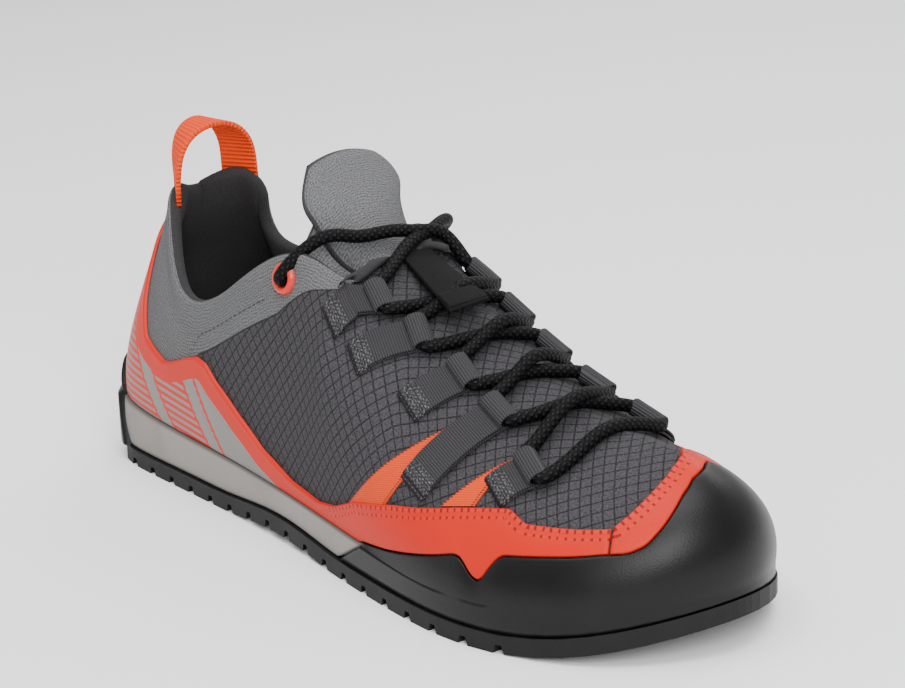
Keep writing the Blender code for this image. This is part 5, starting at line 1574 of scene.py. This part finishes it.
def make_wedge_tape():
    """Bright orange tape with a hatched, stitched edge."""
    material, t, shader = new_material("orange tape", 0.60, level=0.25)
    run, edge = t.split(t.map("tape"))
    ribs = t.wave(run, 1.15)
    colour = t.mix(t.plus(t.times(ribs, 0.25), 0.5), *ORANGE_TAPE)
    hatch = t.times(t.step(t.apart(edge, 0.75), 0.42, 0.25), t.step(t.fold(run, 0.62), 0.22, 0.36))
    colour = t.mix(t.times(hatch, 0.85), colour, (0.050, 0.008, 0.004))
    dress(t, shader, colour, t.minus(ribs, t.times(hatch, 1.5)), 0.00012, 0.7)
    return material


def make_braid():
    """Black round braid with painted glints, a lighter colour on the tops of its crossing strands."""
    material, t, shader = new_material("black braid", 0.62, level=0.12)
    run, turn = t.split(t.map("cord"))
    strands = []
    for sign in (1.0, -1.0):
        phase = t.plus(t.math("DIVIDE", run, 2.6), t.times(turn, 6.0 * sign))
        strands.append(t.math("ABSOLUTE", t.math("SINE", t.times(phase, math.pi))))
    height = t.plus(t.times(*strands), t.times(t.wave(run, 1.05), 0.10))
    # Painted highlight: the strand tops are mixed towards the light braid colour.
    dress(t, shader, t.mix(t.times(t.step(height, 0.62, 0.98), 0.8), *BRAID), height, 0.00032, 0.8)
    return material


def make_flat(name, colour, roughness):
    """Floor and the painted shade in holes, with the least mottling."""
    material, t, shader = new_material(name, roughness)
    shade = t.noise(3.0, 2.0, t.place())
    t.put(shader["Base Color"], t.mix(shade, colour, tuple(part * 0.97 for part in colour)))
    return material


def build_studio():
    """Camera at the photograph's angle, softboxes, near-white room and a pale floor."""
    scene = bpy.context.scene
    back = np.array((math.sin(AZIMUTH) * math.cos(ELEVATION), -math.cos(AZIMUTH) * math.cos(ELEVATION),
                     math.sin(ELEVATION)))
    level = np.array((math.cos(AZIMUTH), math.sin(AZIMUTH), 0.0))
    right = level * math.cos(ROLL) + np.cross(back, level) * math.sin(ROLL)
    up = np.cross(back, right)
    data = bpy.data.cameras.new("camera")
    data.lens = FOCAL_LENGTH
    data.sensor_width = SENSOR
    camera = bpy.data.objects.new("camera", data)
    place = CAMERA_TARGET + SHIFT + back * CAMERA_DISTANCE
    pose = np.vstack((np.column_stack((right, up, back, place)), (0, 0, 0, 1)))
    camera.matrix_world = Matrix(pose.tolist())
    scene.collection.objects.link(camera)
    scene.camera = camera
    for name, (place, size, power) in LIGHTS.items():
        data = bpy.data.lights.new(name, "AREA")
        data.shape = "RECTANGLE"
        data.size, data.size_y = size
        data.energy = power
        light = bpy.data.objects.new(name, data)
        light.location = place
        light.rotation_euler = (LIGHT_TARGET - Vector(place)).to_track_quat("-Z", "Y").to_euler()
        scene.collection.objects.link(light)
    world = bpy.data.worlds.new("room")
    world.use_nodes = True
    background = world.node_tree.nodes["Background"].inputs
    background[0].default_value = (1.0, 1.0, 1.0, 1.0)
    background[1].default_value = ROOM_LIGHT
    scene.world = world
    mesh = bpy.data.meshes.new("floor")
    corners = [(FLOOR_REACH * x, FLOOR_REACH * y, 0) for x, y in ((-1, -1), (1, -1), (1, 1), (-1, 1))]
    mesh.from_pydata(corners, [], [(0, 1, 2, 3)])
    mesh.materials.append(make_flat("pale floor", (FLOOR_SHADE,) * 3, 0.9))
    floor = bpy.data.objects.new("floor", mesh)
    scene.collection.objects.link(floor)


def main():
    for old in list(bpy.data.objects):
        bpy.data.objects.remove(old)
    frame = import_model()
    build_studio()
    weave, ripstop, knit = make_weave_group(), make_ripstop_group(), make_knit_group()
    stitch, grain = make_stitch_group(), make_surface_group()
    rubber = make_grained("black rubber", grain, BLACK_RUBBER, 0.6, 0.38, 1900.0, 0.00010, 0.10, 0.45, 0.20)
    tread = make_grained("tread rubber", grain, TREAD_RUBBER, 0.7, 0.60, 1300.0, 0.00018)
    lining = make_lining()
    red = make_red_film(grain, stitch)
    tape = make_webbing("dark grey webbing", weave, DARK_WEBBING, 0.85, True)
    pull = make_webbing("orange webbing", weave, ORANGE_WEBBING, 1.5, False)
    tab = make_webbing("black tab", weave, BLACK_TAB, 0.7, False)
    plain_knit = make_plain_knit(knit)
    shell = build_upper(make_upper_cloth(weave, ripstop, knit, stitch), lining)
    build_red_film(red)
    build_wedges(make_wedge_tape())
    build_toe_rand(rubber)
    build_heel_rand(rubber)
    build_midsole(make_foam(grain))
    build_tongue(plain_knit, lining)
    build_pull_loop(pull)
    build_lace_loops(shell, tape)
    build_eyelets(make_grained("orange enamel", grain, ENAMEL, 0.4, 0.34, 1500.0, 0.00004, 0.4, 0.2),
                  make_flat("painted hole shade", (0.006, 0.006, 0.006), 0.9))
    build_keeper(shell, tab)
    build_lace(shell, make_braid())
    for node, material in (("outsole", tread), ("insole", lining)):
        for slot in frame["nodes"][node].material_slots:
            slot.material = material


main()
